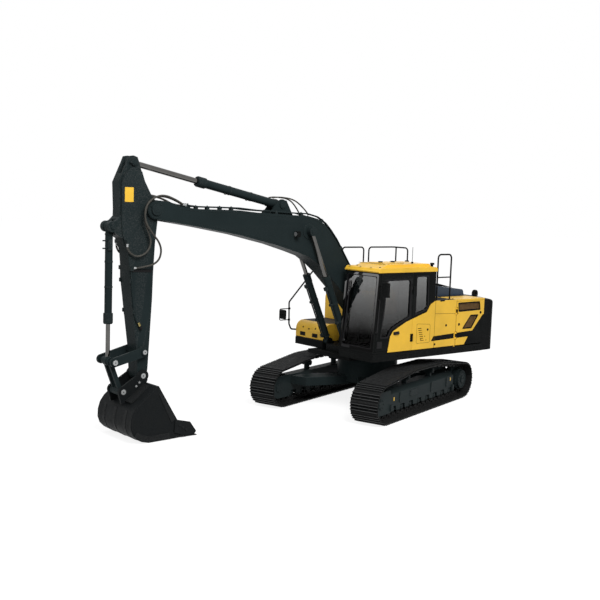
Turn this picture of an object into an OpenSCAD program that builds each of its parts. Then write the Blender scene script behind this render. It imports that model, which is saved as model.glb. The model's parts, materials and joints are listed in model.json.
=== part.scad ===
// Crawler excavator of the 22-tonne class, millimetres.
// X points forward along the boom, Y to the operator's left, Z up, with the ground at Z = 0.
// Shapes are drawn about the swing axis, then moved so that the whole stands over the origin.

/* [Undercarriage] */
// Angle of the tracks under the upper structure, seen from above
slew_angle = 15.9; // [10:0.1:22]
// Distance between the idler and sprocket centres
tumbler_distance = 3650; // [3600:10:3700]
// Distance between the centre lines of the two tracks
track_gauge = 2390; // [2360:10:2420]
// Width of a track shoe
shoe_width = 600; // [560:10:640]
// Height of the lugs on a track shoe
lug_height = 26; // [20:1:30]

/* [Upper structure] */
// Width across the side panels
upper_width = 2726; // [2700:2:2750]
// Radius of the counterweight's back about the swing axis
tail_radius = 2880; // [2840:5:2900]
// Height of the counterweight's top
counterweight_top = 2240; // [2200:5:2240]
// Thickness of the side doors and panels
panel_thickness = 40; // [30:1:50]
// Thickness of the raised yellow panels on the doors and walls
skin_thickness = 12; // [8:1:16]
// Bend radius of the handrails
rail_bend = 80; // [50:5:110]

/* [Cab] */
// Thickness of the cab's walls and door
cab_wall = 50; // [40:1:60]
// Height of the cab's eaves
cab_eaves = 2884; // [2860:2:2900]
// Thickness of the window panes
glass_thickness = 8; // [5:1:12]

/* [Front equipment] */
// Width of the boom's box section
boom_width = 440; // [420:2:440]
// Width of the arm's box section
arm_width = 310; // [300:2:312]
// Width of the bucket across its side plates
bucket_width = 1160; // [1000:10:1240]
// Outer radius of the boom cylinders' barrels
boom_barrel_radius = 70; // [60:1:70]
// Outer radius of the arm cylinder's barrel
arm_barrel_radius = 80; // [70:1:85]
// Outer radius of the bucket cylinder's barrel
bucket_barrel_radius = 65; // [58:1:68]

/* [Hidden] */
$fn = 48;

// Paint
slate = [0.20, 0.25, 0.25];
yellow = [0.95, 0.70, 0.05];
black = [0.07, 0.07, 0.08];
steel = [0.55, 0.56, 0.58];

// Fits
pin_gap = 0.3;
side_gap = 5;

// Pin centres in the boom's plane, as [x, z]
boom_foot = [240, 1850];
arm_pivot = [5476, 3990];
bucket_pivot = [5666, 1100];
boom_rod_pin = [1982, 3641];
boom_barrel_pin = [900, 1320];
arm_rod_pin = [5871, 4783];
arm_barrel_pin = [2600, 4140];
rocker_pin = [5682, 1526];
tip_pin = [6255, 1387];
link_pin = [6052, 851];
bucket_barrel_pin = [6259, 3686];

// The whole is centred between the bracket at the arm's front and the counterweight's back
bracket_radius = 95;
front_reach = bucket_barrel_pin[0] + bracket_radius;
centre_x = (front_reach - tail_radius) / 2;

// Halves and planes used by several parts
upper_half = upper_width / 2;
wall_half = upper_half - skin_thickness;
boom_half = boom_width / 2;
arm_half = arm_width / 2;
bucket_half = bucket_width / 2;
gauge_half = track_gauge / 2;
deck_bottom = 1129;
deck_top = 1277;
bearing_bottom = 940;
bearing_top = 1050;
weight_depth = 730;
weight_front = weight_depth - tail_radius;
bay_front = -1195;
bay_rear = weight_front + side_gap;
cover_top = 2280;

// Placing: everything is drawn about the swing axis
module machine() { translate([-centre_x, 0, 0]) children(); }
// The tracks stand turned under the upper structure
module slewed() { machine() rotate([0, 0, slew_angle]) children(); }
// A flat shape drawn in X and Z, as thick as the space from y0 to y1
module plate(y0, y1) { translate([0, y1, 0]) rotate([90, 0, 0]) linear_extrude(height = y1 - y0) children(); }
// The same on both sides of the middle plane
module pair() { children(); mirror([0, 1, 0]) children(); }
// A block between two corners
module block(a, b) { translate(a) cube(b - a); }
// A round bar across the machine at p = [x, z]
module cross_bar(p, r, y0, y1) {
    translate([p[0], y1, p[1]]) rotate([90, 0, 0]) cylinder(r = r, h = y1 - y0);
}
// A flat disc outline at p
module disc(p, r) { translate(p) circle(r = r); }
// Local X runs from pin p towards pin q, at the distance y from the middle plane
module between(p, q, y = 0) {
    translate([p[0], y, p[1]]) rotate([0, -atan2(q[1] - p[1], q[0] - p[0]), 0]) children();
}
// A round bar along local X
module bar_x(r, x0, x1) { translate([x0, 0, 0]) rotate([0, 90, 0]) cylinder(r = r, h = x1 - x0); }
// A round bar between two points
module bar(a, b, r) {
    d = b - a;
    translate(a) rotate([0, acos(d[2] / norm(d)), atan2(d[1], d[0])]) cylinder(r = r, h = norm(d));
}
// Points along an arc about c, as [x, z]
function arc(c, r, from, to, steps = 6) =
    [for (i = [0 : steps]) let (a = from + (to - from) * i / steps) c + r * [cos(a), sin(a)]];
// Half a hinge with its pin along Z at the origin: leaf_side -1 or 1 says which way the leaf lies
hinge_radius = 14;
hinge_lift = hinge_radius + pin_gap;
hinge_leaf = 38;
module hinge_half(leaf_side, z0, z1) {
    translate([0, hinge_lift, z0]) cylinder(r = hinge_radius, h = z1 - z0);
    low = min(0, leaf_side * hinge_leaf);
    translate([low, 0, z0]) difference() {
        translate([0, -1, 0]) cube([hinge_leaf, hinge_lift, z1 - z0]);
        translate([leaf_side < 0 ? hinge_leaf - 4 : -1, -2, -1]) cube([5, 2, z1 - z0 + 2]);
    }
}
// Knuckles along one hinge: one half holds the ends, the other the middle
module hinge(leaf_side, places, outer) {
    for (z = places) {
        if (outer) {
            hinge_half(leaf_side, z, z + 40);
            hinge_half(leaf_side, z + 110 + 2 * pin_gap, z + 150);
        } else {
            hinge_half(leaf_side, z + 40 + pin_gap, z + 110 + pin_gap);
        }
    }
}
// A bent tube through a list of points, with a weld bead at each bend
weld = 2;
module tube(points, r) {
    for (i = [0 : len(points) - 2]) bar(points[i], points[i + 1], r);
    for (i = [1 : len(points) - 2]) translate(points[i]) sphere(r = r + weld);
}

// A round tube swept along a list of points
swept_sides = 10;
hose_steps = 2;
function smooth(p, i, t) = let (a = p[max(i - 1, 0)], b = p[i], c = p[i + 1], d = p[min(i + 2, len(p) - 1)])
    0.5 * (2 * b + (c - a) * t + (2 * a - 5 * b + 4 * c - d) * t * t + (3 * b - a - 3 * c + d) * t * t * t);
function route(p) = concat([for (i = [0 : len(p) - 2], k = [0 : hose_steps - 1]) smooth(p, i, k / hose_steps)],
    [p[len(p) - 1]]);
function ring(c, d, r) = let (u = d / norm(d), s = cross(u, [0, 1, 0.2]), n = s / norm(s), m = cross(u, n))
    [for (k = [0 : swept_sides - 1]) c + r * (cos(360 * k / swept_sides) * n + sin(360 * k / swept_sides) * m)];
module swept(p, r) {
    n = len(p);
    rings = [for (i = [0 : n - 1]) each ring(p[i], p[min(i + 1, n - 1)] - p[max(i - 1, 0)], r)];
    polyhedron(rings, concat([[for (k = [0 : swept_sides - 1]) k]],
        [for (i = [0 : n - 2], k = [0 : swept_sides - 1]) let (j = (k + 1) % swept_sides)
            [i * swept_sides + j, i * swept_sides + k, (i + 1) * swept_sides + k, (i + 1) * swept_sides + j]],
        [[for (k = [0 : swept_sides - 1]) n * swept_sides - 1 - k]]));
}

// Undercarriage

loop_radius = 400;
crown_height = 950;
crown_half = 600;
shoe_inner_depth = 42;
pin_depth = 80;
rail_depth = 138;
rail_inner = 55;
rail_outer = 100;
shoe_count = 49;
frame_half = 170;
frame_skin = 30;
frame_bottom = 330;
frame_top = 620;
frame_end = 1450;
guard_bottom = 190;
notch_half = 105;
notch_height = 95;
yoke_half = 230;
run = tumbler_distance / 2;
crown_dx = run - crown_half;
crown_dz = crown_height - loop_radius;
slope = acos(loop_radius / norm([crown_dx, crown_dz])) - atan2(crown_dx, crown_dz);
crown_tuck = tan(slope / 2);
arc_turn = 180 - slope;

// The loop as a list of [centre or corner, normal angle], at a depth under the lugs' tips
function unit(a) = [cos(a), sin(a)];
function rear_arc(a, depth) = [-run, loop_radius] + (loop_radius - depth) * unit(a);
function front_arc(a, depth) = [run, loop_radius] + (loop_radius - depth) * unit(a);
function crown_point(side, depth) = [side * (crown_half - depth * crown_tuck), crown_height - depth];
arc_steps = 14;
function loop_path(depth) = concat(
    [for (i = [0 : arc_steps]) rear_arc(270 - arc_turn * i / arc_steps, depth)],
    [crown_point(-1, depth), crown_point(1, depth)],
    [for (i = [0 : arc_steps]) front_arc(90 - slope - arc_turn * i / arc_steps, depth)]);
// Lengths along the pin line, from the front of the ground run
pin_radius = loop_radius - pin_depth;
ground_length = 2 * run;
arc_length = pin_radius * arc_turn * PI / 180;
slope_length = norm(crown_point(-1, pin_depth) - rear_arc(90 + slope, pin_depth));
crown_length = 2 * crown_point(1, pin_depth)[0];
mark_1 = ground_length;
mark_2 = mark_1 + arc_length;
mark_3 = mark_2 + slope_length;
mark_4 = mark_3 + crown_length;
mark_5 = mark_4 + slope_length;
loop_length = mark_5 + arc_length;
shoe_pitch = loop_length / shoe_count;
function degrees_on_arc(s) = s / pin_radius * 180 / PI;
// Outward normal and place on the pin line at the length s
function loop_normal(s) = s < mark_1 ? 270
    : s < mark_2 ? 270 - degrees_on_arc(s - mark_1)
    : s < mark_3 ? 90 + slope
    : s < mark_4 ? 90
    : s < mark_5 ? 90 - slope
    : 90 - slope - degrees_on_arc(s - mark_5);
function loop_place(s) = s < mark_1 ? [run - s, pin_depth]
    : s < mark_2 ? rear_arc(270 - degrees_on_arc(s - mark_1), pin_depth)
    : s < mark_3 ? rear_arc(90 + slope, pin_depth) + (s - mark_2) * unit(slope)
    : s < mark_4 ? crown_point(-1, pin_depth) + [s - mark_3, 0]
    : s < mark_5 ? crown_point(1, pin_depth) + (s - mark_4) * unit(-slope)
    : front_arc(90 - slope - degrees_on_arc(s - mark_5), pin_depth);
// One shoe's outer face: three lugs and the notch before the next shoe, as [along, outward]
plate_level = pin_depth - lug_height;
notch_level = plate_level - 5;
lug_half = 14;
lug_step = shoe_pitch / 3;
shoe_face = concat([[-shoe_pitch / 2, notch_level]],
    [for (i = [-1 : 1], p = [[-lug_half, plate_level], [0, pin_depth], [lug_half, plate_level]])
        [i * lug_step + p[0], p[1]]]);
function on_loop(s, outward) = loop_place(s) + outward * unit(loop_normal(s));
shoe_outline = [for (k = [0 : shoe_count - 1], p = shoe_face) on_loop((k + 0.5) * shoe_pitch + p[0], p[1])];

module loop_band(outer, inner) {
    polygon(concat(outer, inner), [[for (i = [0 : len(outer) - 1]) i],
        [for (i = [0 : len(inner) - 1]) len(outer) + i]]);
}
module track() {
    plate(-shoe_width / 2, shoe_width / 2) loop_band(shoe_outline, loop_path(shoe_inner_depth));
    pair() plate(rail_inner, rail_outer) loop_band(loop_path(shoe_inner_depth - 4), loop_path(rail_depth));
}
module track_left() { color(slate) slewed() translate([0, gauge_half, 0]) track(); }
module track_right() { color(slate) slewed() translate([0, -gauge_half, 0]) track(); }

module side_frame() {
    translate([-frame_end, 0, 0]) rotate([90, 0, 90]) linear_extrude(height = 2 * frame_end)
        polygon([[-frame_half, frame_bottom], [-frame_half, frame_top], [60, frame_top],
            [frame_half, 540], [frame_half, frame_bottom]]);
    pair() plate(frame_half - frame_skin, frame_half) difference() {
        polygon([[-frame_end, guard_bottom], [-frame_end, frame_bottom + 1], [frame_end, frame_bottom + 1],
            [frame_end, guard_bottom]]);
        for (i = [0 : roller_count - 1]) translate([roller_first + i * roller_step, guard_bottom])
            polygon([[-notch_half, -1], [20 - notch_half, notch_height], [notch_half - 20, notch_height],
                [notch_half, -1]]);
    }
    pair() plate(frame_half - frame_skin, frame_half) {
        polygon([[frame_end - 10, loop_radius - yoke_half], [run, loop_radius - yoke_half],
            [run, loop_radius + yoke_half], [frame_end - 10, loop_radius + yoke_half]]);
        disc([run, loop_radius], yoke_half);
    }
    plate(-frame_half, frame_skin - frame_half) {
        polygon([[10 - frame_end, 240], [-run, loop_radius - 190], [-run, loop_radius + 190],
            [10 - frame_end, 600]]);
        disc([-run, loop_radius], 190);
    }
}
module track_frames() { color(slate) slewed() pair() translate([0, gauge_half, 0]) side_frame(); }

chord_sag = 2;
idler_tread = loop_radius - rail_depth - chord_sag;
axle_reach = frame_half - frame_skin;
module idlers() {
    color(steel) slewed() pair() translate([0, gauge_half, 0]) {
        cross_bar([run, loop_radius], idler_tread, -rail_outer, rail_outer);
        cross_bar([run, loop_radius], idler_tread + 50, -rail_inner + 5, rail_inner - 5);
        cross_bar([run, loop_radius], 60, -axle_reach, axle_reach);
    }
}

tooth_count = 21;
tooth_tip = loop_radius - shoe_inner_depth - 25;
tooth_root = tooth_tip - 45;
final_drive_radius = 230;
final_drive_face = 215;
module sprockets() {
    color(slate) slewed() pair() translate([0, gauge_half, 0]) {
        plate(-35, 35) translate([-run, loop_radius]) polygon([for (i = [0 : tooth_count - 1],
            p = [[-0.38, tooth_root], [-0.18, tooth_tip], [0.18, tooth_tip], [0.38, tooth_root]])
            p[1] * unit((i + p[0]) * 360 / tooth_count)]);
        cross_bar([-run, loop_radius], final_drive_radius, -axle_reach, 150);
        cross_bar([-run, loop_radius], final_drive_radius - 30, -axle_reach, final_drive_face);
        cross_bar([-run, loop_radius], 90, -axle_reach, final_drive_face + 15);
    }
}

roller_radius = 84;
roller_count = 8;
roller_first = -1290;
roller_step = -2 * roller_first / (roller_count - 1);
carrier_radius = 58;
carrier_place = 550;
module rollers() {
    color(slate) slewed() pair() translate([0, gauge_half, 0]) {
        for (i = [0 : roller_count - 1]) {
            centre = [roller_first + i * roller_step, rail_depth + pin_gap + roller_radius];
            cross_bar(centre, roller_radius, -rail_outer - 4, rail_outer + 4);
            cross_bar(centre, 34, -axle_reach, axle_reach);
        }
        for (s = [-1, 1]) {
            centre = [s * carrier_place, crown_height - rail_depth - pin_gap - carrier_radius];
            cross_bar(centre, carrier_radius, -rail_outer, rail_outer);
            block([centre[0] - 35, -50, frame_top], [centre[0] + 35, 50, centre[1]]);
        }
    }
}

hub_radius = 640;
hub_bottom = 480;
leg_foot = 1578;
leg_half = 230;
leg_clip = 1400;
leg_turn = atan2(gauge_half - frame_half, leg_foot);
leg_reach = norm([leg_foot, gauge_half]) + leg_half;
leg_bottom = 430;
leg_top = 600;
module car_body() {
    color(slate) slewed() {
        translate([0, 0, hub_bottom]) cylinder(r = hub_radius, h = bearing_bottom - hub_bottom);
        intersection() {
            union() {
                for (a = [-leg_turn, leg_turn, 180 - leg_turn, 180 + leg_turn]) rotate([0, 0, a])
                    block([0, -leg_half, leg_bottom], [leg_reach, leg_half, leg_top]);
            }
            block([-leg_clip, frame_half - gauge_half, leg_bottom], [leg_clip, gauge_half - frame_half, leg_top]);
        }
    }
}

ring_outer = 630;
ring_inner = 520;
bearing_gap = 0.5;
module swing_bearing() {
    color(steel) slewed() translate([0, 0, bearing_bottom]) difference() {
        cylinder(r = ring_outer, h = bearing_top - bearing_bottom - bearing_gap);
        translate([0, 0, -1]) cylinder(r = ring_inner, h = bearing_top - bearing_bottom + 2);
    }
}

// Upper structure

bracket_inner = boom_half + side_gap;
bracket_outer = bracket_inner + 50;
foot_pin_radius = 55;
boom_eye_width = 110;
boom_cylinder_y = boom_half + 80;
lug_thickness = 15;
lug_inner = boom_cylinder_y - boom_eye_width / 2 - side_gap;
lug_outer = boom_cylinder_y + boom_eye_width / 2 + side_gap;
boom_eye_radius = 75;
boom_pin_radius = 40;
cab_inner_y = 386;
frame_front = 1213;
right_front = 900;
centre_front = 1000;
recess_back = 790;
module main_frame() {
    color(black) machine() {
        difference() {
            union() {
                block([-2100, -640, bearing_top], [1150, 640, deck_bottom]);
                translate([0, 0, deck_bottom]) linear_extrude(height = deck_top - deck_bottom)
                    polygon([[weight_front, -upper_half], [right_front, -upper_half],
                        [right_front, -lug_outer - lug_thickness], [centre_front, -lug_outer - lug_thickness],
                        [centre_front, cab_inner_y], [frame_front, cab_inner_y],
                        [frame_front, upper_half], [weight_front, upper_half]]);
            }
            pair() block([recess_back, lug_inner, deck_bottom], [frame_front + 1, lug_outer, deck_top + 1]);
            translate([0, 0, bearing_top - 1]) cylinder(r = 300, h = deck_top - bearing_top + 2);
        }
        pair() plate(bracket_inner, bracket_outer) {
            polygon([[-620, deck_top - 1], [-520, 1480], [110, 1925], [370, 1925], [560, 1500], [640, deck_top - 1]]);
            disc(boom_foot, 150);
        }
        cross_bar(boom_foot, foot_pin_radius, -bracket_outer - 25, bracket_outer + 25);
        pair() {
            for (y = [lug_inner - lug_thickness, lug_outer]) plate(y, y + lug_thickness) {
                polygon([[recess_back, deck_bottom - 1], [recess_back, deck_top + 20], [850, 1380], [950, 1380],
                    [centre_front, deck_top + 20], [centre_front, deck_bottom - 1]]);
                disc(boom_barrel_pin, 70);
            }
            cross_bar(boom_barrel_pin, boom_pin_radius, lug_inner - lug_thickness, lug_outer + lug_thickness);
        }
    }
}

weight_half = upper_half - 63;
weight_bottom = 1117;
weight_round = 170;
weight_foot = 70;
weight_corner = 190;
corner_y = weight_half - weight_corner;
corner_centre = [-sqrt(pow(tail_radius - weight_corner, 2) - pow(corner_y, 2)), corner_y];
corner_turn = atan2(corner_centre[1], corner_centre[0]);
lifting_eye_y = 700;
lifting_eye_x = 260 - tail_radius;
lifting_hole_radius = 30;
module counterweight() {
    color(black) machine() {
        intersection() {
            rotate_extrude($fn = 96) polygon(concat([[1200, deck_bottom], [1200, counterweight_top]],
                arc([tail_radius - weight_round, counterweight_top - weight_round], weight_round, 90, 0),
                arc([tail_radius - weight_foot, weight_bottom + weight_foot], weight_foot, 0, -90),
                [[1900, weight_bottom]]));
            translate([0, 0, weight_bottom - 10]) linear_extrude(height = counterweight_top - weight_bottom + 20)
                polygon(concat([[weight_front - pin_gap, weight_half]],
                    arc(corner_centre, weight_corner, 90, corner_turn),
                    [[-tail_radius - 10, corner_centre[1]], [-tail_radius - 10, -corner_centre[1]]],
                    arc([corner_centre[0], -corner_centre[1]], weight_corner, -corner_turn, -90),
                    [[weight_front - pin_gap, -weight_half]]));
        }
        pair() difference() {
            plate(lifting_eye_y - 25, lifting_eye_y + 25) {
                translate([lifting_eye_x - 80, counterweight_top - 1]) square([160, 61]);
                disc([lifting_eye_x, counterweight_top + 60], 80);
            }
            cross_bar([lifting_eye_x, counterweight_top + 60], lifting_hole_radius, lifting_eye_y - 30,
                lifting_eye_y + 30);
        }
    }
}

module engine_block() {
    color(slate) machine() block([weight_front + 100, -900, deck_top], [bay_front - 135, 700, 2120]);
}

hood_left = 850;
hood_right = -800;
bay_skin = 40;
door_gap = side_gap;
bay_hinge_x = bay_front - bay_skin - door_gap / 2;
bay_hinges = [deck_top + 160, cover_top - 320];
hood_hinges = [hood_right + 150, hood_left - 300];
module engine_bay_frame() {
    color(yellow) machine() {
        pair() translate([bay_hinge_x, wall_half, 0]) hinge(1, bay_hinges, true);
        translate([bay_hinge_x, 0, cover_top]) rotate([-90, 0, 180]) mirror([1, 0, 0]) mirror([0, 1, 0])
            hinge(1, [for (y = hood_hinges) -y - 150], true);
        block([bay_front - bay_skin, -wall_half, deck_top], [bay_front, wall_half, cover_top]);
        block([bay_rear, hood_left + side_gap, cover_top - bay_skin],
            [bay_front - bay_skin + 1, upper_half, cover_top]);
        block([bay_rear, -upper_half, cover_top - bay_skin],
            [bay_front - bay_skin + 1, hood_right - side_gap, cover_top]);
    }
}

cab_back = -555;
module left_side_panel() {
    color(black) machine() difference() {
        block([bay_front + pin_gap, cab_inner_y + 40, deck_top], [cab_back - side_gap, wall_half, cover_top]);
        block([bay_front + panel_thickness, cab_inner_y + 40 + panel_thickness, deck_top - 1],
            [cab_back - side_gap - panel_thickness, wall_half - panel_thickness, cover_top - panel_thickness]);
    }
}

door_bottom = deck_top + 23;
door_top = cover_top - bay_skin - side_gap;
door_front = bay_front - bay_skin - side_gap;
louver_rim = 14;
slat_step = 26;
slat_height = 11;
slat_depth = 18;
module upper_louver(rim) {
    polygon([[-1290 - rim, 2198 - rim], [-1978 + rim, 2204 - rim], [-2008 + rim, 2036 + rim],
        [-1310 - rim, 2024 + rim]]);
}
module lower_louver(rim) {
    polygon([[-1705 - rim / 2, 1920 - rim], [-1945 + 2 * rim, 1918 - rim], [-1737 + rim / 2, 1650 + rim],
        [-1458 - 2 * rim, 1650 + rim]]);
}
module slats() { for (z = [1640 : slat_step : 2210]) translate([bay_rear, z]) square([-bay_rear, slat_height]); }
module side_door() {
    plate(wall_half - panel_thickness, wall_half) difference() {
        translate([bay_rear, door_bottom]) square([door_front - bay_rear, door_top - door_bottom]);
        upper_louver(louver_rim);
        lower_louver(louver_rim);
    }
    plate(wall_half - panel_thickness / 2 - slat_depth / 2, wall_half - panel_thickness / 2 + slat_depth / 2)
        intersection() {
            union() {
                upper_louver(louver_rim - 1);
                lower_louver(louver_rim - 1);
            }
            slats();
        }
    translate([bay_hinge_x, wall_half, 0]) hinge(-1, bay_hinges, false);
}
module left_door() { color(black) machine() side_door(); }
module right_door() { color(black) machine() mirror([0, 1, 0]) side_door(); }

// Raised yellow panels: a swoosh under the cab's windows, a dark stripe and a slanted end at the back
panel_bottom = door_bottom;
swoosh = [[804, panel_bottom], [739, 1621], [658, 1722], [294, 1886], [-310, 2059], [-414, 2211], [-560, 2280]];
stripe = [[-471, 1440], [-528, 1539], [-1781, 1587], [-2102, 1912], [-2300, 1998], [-2300, 1250],
    [-1491, 1250], [-1532, 1308], [-1644, 1465]];
notch_room = 6;
module yellow_side() {
    difference() {
        polygon(concat(swoosh, [[-600, cover_top], [bay_rear, cover_top], [bay_rear, panel_bottom]]));
        polygon(stripe);
    }
}
// The part of the yellow side between two places along the machine, with room for a hinge
module side_skin(x0, x1, top, hinge_x, hinge_places) {
    plate(wall_half + pin_gap, upper_half) difference() {
        intersection() {
            yellow_side();
            translate([x0, panel_bottom]) square([x1 - x0, top - panel_bottom]);
        }
        for (z = hinge_places) translate([hinge_x - hinge_leaf - notch_room, z - notch_room])
            square([2 * (hinge_leaf + notch_room), 150 + 2 * notch_room]);
        children();
    }
}
vent_step = 42;
module vent_slots() {
    for (i = [0 : 6]) translate([-250 + i * 14, 1470 + i * vent_step]) square([110, 14]);
}
module left_panels() {
    color(yellow) machine() {
        side_skin(cab_back, door_back - door_gap, cover_top, cab_hinge_x, cab_hinges) vent_slots();
        side_skin(bay_front - bay_skin + 2, cab_back - side_gap, cover_top, bay_hinge_x, bay_hinges);
    }
}
module cab_door_panel() {
    color(yellow) machine() side_skin(door_back, sill_front, cover_top, cab_hinge_x, cab_hinges);
}
module door_skin() {
    side_skin(bay_rear, door_front, door_top, bay_hinge_x, bay_hinges) {
        upper_louver(0);
        lower_louver(0);
    }
}
module left_door_panel() { color(yellow) machine() door_skin(); }
module right_door_panel() { color(yellow) machine() mirror([0, 1, 0]) door_skin(); }

hood_front = bay_front - bay_skin - side_gap;
hood_rear = weight_front - 220;
hood_bottom = counterweight_top + side_gap;
hood_plate = cover_top;
hood_skin = 40;
bump_left = hood_left - 170;
bump_right = hood_right + 170;
bump_top = 2500;
bump_fall = 95;
bump_round = 70;
module engine_hood() {
    color([0.16, 0.19, 0.21]) machine() {
        difference() {
            union() {
                plate(hood_right, hood_left) polygon([[hood_front, hood_bottom], [hood_front, hood_plate],
                    [hood_rear + 40, hood_plate], [hood_rear, hood_plate - 20], [hood_rear, hood_bottom]]);
                plate(bump_right, bump_left) polygon(concat([[hood_front - 90, hood_plate - 1]],
                    arc([hood_front - 90 - bump_round, bump_top - bump_round], bump_round, 0, 90),
                    arc([hood_rear + 130 + bump_round, bump_top - bump_fall - bump_round], bump_round, 100, 180),
                    [[hood_rear + 110, hood_plate - 1]]));
            }
            plate(hood_right + hood_skin, hood_left - hood_skin) polygon([[hood_front - hood_skin, hood_bottom - 1],
                [hood_front - hood_skin, hood_plate - 20], [hood_rear + 230, hood_plate - 20],
                [hood_rear + 230, hood_bottom - 1]]);
            plate(bump_right + hood_skin, bump_left - hood_skin) polygon([
                [hood_front - 90 - hood_skin, hood_plate - 21],
                [hood_front - 90 - hood_skin, bump_top - bump_round - 20], [hood_front - 200, bump_top - hood_skin],
                [hood_rear + 260, bump_top - bump_fall - hood_skin], [hood_rear + 230, hood_plate - 21]]);
        }
        translate([bay_hinge_x, 0, cover_top]) rotate([-90, 0, 180]) mirror([1, 0, 0]) mirror([0, 1, 0])
            hinge(-1, [for (y = hood_hinges) -y - 150], false);
    }
}

tank_inner = -420;
fuel_front = 60;
fuel_back = -300;
tank_top = 2250;
tank_round = 130;
box_round = 190;
box_top = 1650;
module fuel_tank() {
    color(yellow) machine() {
        plate(-upper_half, tank_inner) polygon(concat([[fuel_back, deck_top], [fuel_back, tank_top]],
            arc([fuel_front - tank_round, tank_top - tank_round], tank_round, 90, 0), [[fuel_front, deck_top]]));
        translate([fuel_front - 200, -900, tank_top - 1]) cylinder(r = 70, h = 46);
    }
}
module hydraulic_tank() {
    color(yellow) machine() {
        block([bay_front + pin_gap, -upper_half, deck_top], [fuel_back - side_gap, tank_inner, tank_top]);
        translate([-750, -900, tank_top - 1]) cylinder(r = 90, h = 36);
    }
}
module tool_box() {
    color(yellow) machine() plate(-upper_half, tank_inner) polygon(concat([[fuel_front + pin_gap, deck_top],
        [fuel_front + pin_gap, box_top]], arc([right_front - box_round, box_top - box_round], box_round, 90, 0),
        [[right_front, deck_top]]));
}
module swing_motor() {
    color(slate) machine() translate([-820, 0, deck_top]) {
        cylinder(r = 190, h = 260);
        cylinder(r = 130, h = 470);
    }
}
module control_valve() {
    color(steel) machine() block([-560, -190, deck_top], [-240, 190, 1600]);
}

rail_radius = 17;
rail_top = 3230;
module elbow(turn) {
    rotate([90, 0, 0]) rotate([0, 0, turn]) rotate_extrude(angle = 90)
        translate([rail_bend, 0]) circle(r = rail_radius);
}
// A hoop from foot to rail top, seen along Y, with a bar across the middle
module rail_loop(x0, x1, y, foot) {
    bar([x0, y, foot], [x0, y, rail_top - rail_bend], rail_radius);
    bar([x1, y, foot], [x1, y, rail_top - rail_bend], rail_radius);
    bar([x0 + rail_bend, y, rail_top], [x1 - rail_bend, y, rail_top], rail_radius);
    translate([x0 + rail_bend, y, rail_top - rail_bend]) elbow(90);
    translate([x1 - rail_bend, y, rail_top - rail_bend]) elbow(0);
    bar([x0, y, (foot + rail_top) / 2], [x1, y, (foot + rail_top) / 2], rail_radius - 3);
}
rail_y = 30 - upper_half;
rail_return = hood_right - 80;
module platform_rails() {
    color(black) machine() {
        rail_loop(-1050, -380, rail_y, tank_top);
        rail_loop(bay_rear + 105, bay_front - 20, rail_y, cover_top);
        translate([bay_rear + 105, 0, 0]) rotate([0, 0, 90])
            rail_loop(rail_y + rail_radius + 60, rail_return, 0, cover_top);
    }
}
ladder_y = upper_half - 60;
module ladder_rail() {
    color(black) machine() {
        rail_loop(-1050, -640, ladder_y, cover_top);
    }
}
mirror_y = -upper_half - 45;
mirror_loop = 1330;
module mirror_rail() {
    color(black) machine() {
        tube([[800, -upper_half, 1420], [800, mirror_y, 1420], [1000, mirror_y, 1440], [1060, mirror_y, 1560],
            [1075, mirror_y, 2040], [420, mirror_y, 2700], [-180, mirror_y, 2700], [-180, mirror_y, 2200],
            [-180, -upper_half, 2200]], rail_radius);
        for (z = [1650, 1895]) bar([1065, mirror_y, z], [mirror_loop, mirror_y, z], 10);
        bar([mirror_loop, mirror_y, 1635], [mirror_loop, mirror_y, 1910], 13);
        bar([1240, mirror_y, 1770], [mirror_loop, mirror_y, 1770], 9);
        block([1215, mirror_y - 90, 1670], [1250, mirror_y + 90, 1875]);
    }
}

// Cab

cab_bottom = deck_top;
floor_top = 1330;
cab_left = wall_half;
sill_front = 1213;
eaves_front = 1100;
door_back = 125;
roof_lip = 20;
roof_visor = 40;
roof_edge = 95;
roof_round = 60;
roof_crown = 62;
crown_inset = 110;
hatch_half = 230;
hatch_rise = 14;
roof_top = cab_eaves + roof_edge;
hatch_top = roof_top + roof_crown + hatch_rise;
function front_at(z) = sill_front + (eaves_front - sill_front) * (z - floor_top) / (cab_eaves - floor_top);
module cab_floor() {
    color(black) machine()
        block([cab_back, cab_inner_y, cab_bottom], [sill_front, cab_left - side_gap, floor_top]);
}
module front_strip(z0, z1, back, ahead) {
    polygon([[front_at(z0) - back, z0], [front_at(z1) - back, z1], [front_at(z1) - ahead, z1],
        [front_at(z0) - ahead, z0]]);
}
pillar = 62;
shield_bottom = 1390;
shield_top = 2810;
module cab_front() {
    color(black) machine() difference() {
        plate(cab_inner_y, cab_left) front_strip(floor_top, cab_eaves, cab_wall, 0);
        plate(cab_inner_y + pillar, cab_left - pillar) front_strip(shield_bottom, shield_top, cab_wall + 5, -5);
    }
}
side_window_bottom = 1900;
side_window_top = 2800;
module side_wall(x0) {
    polygon([[x0, floor_top], [x0, cab_eaves], [front_at(cab_eaves) - cab_wall, cab_eaves],
        [front_at(floor_top) - cab_wall, floor_top]]);
}
module right_window() {
    polygon([[-430, side_window_bottom], [-430, side_window_top], [940, side_window_top],
        [980, side_window_bottom]]);
}
module cab_right() {
    color(black) machine() plate(cab_inner_y, cab_inner_y + cab_wall) difference() {
        side_wall(cab_back + cab_wall);
        right_window();
    }
}
rear_window_bottom = 2150;
module cab_rear() {
    color(black) machine() difference() {
        block([cab_back, cab_inner_y, floor_top], [cab_back + cab_wall, cab_left, cab_eaves]);
        block([cab_back - 1, cab_inner_y + 90, rear_window_bottom],
            [cab_back + cab_wall + 1, cab_left - 90, side_window_top]);
    }
}
module quarter_window() {
    polygon([[-345, 2175], [-325, side_window_top], [35, side_window_top], [35, 2015], [-285, 2100]]);
}
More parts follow.
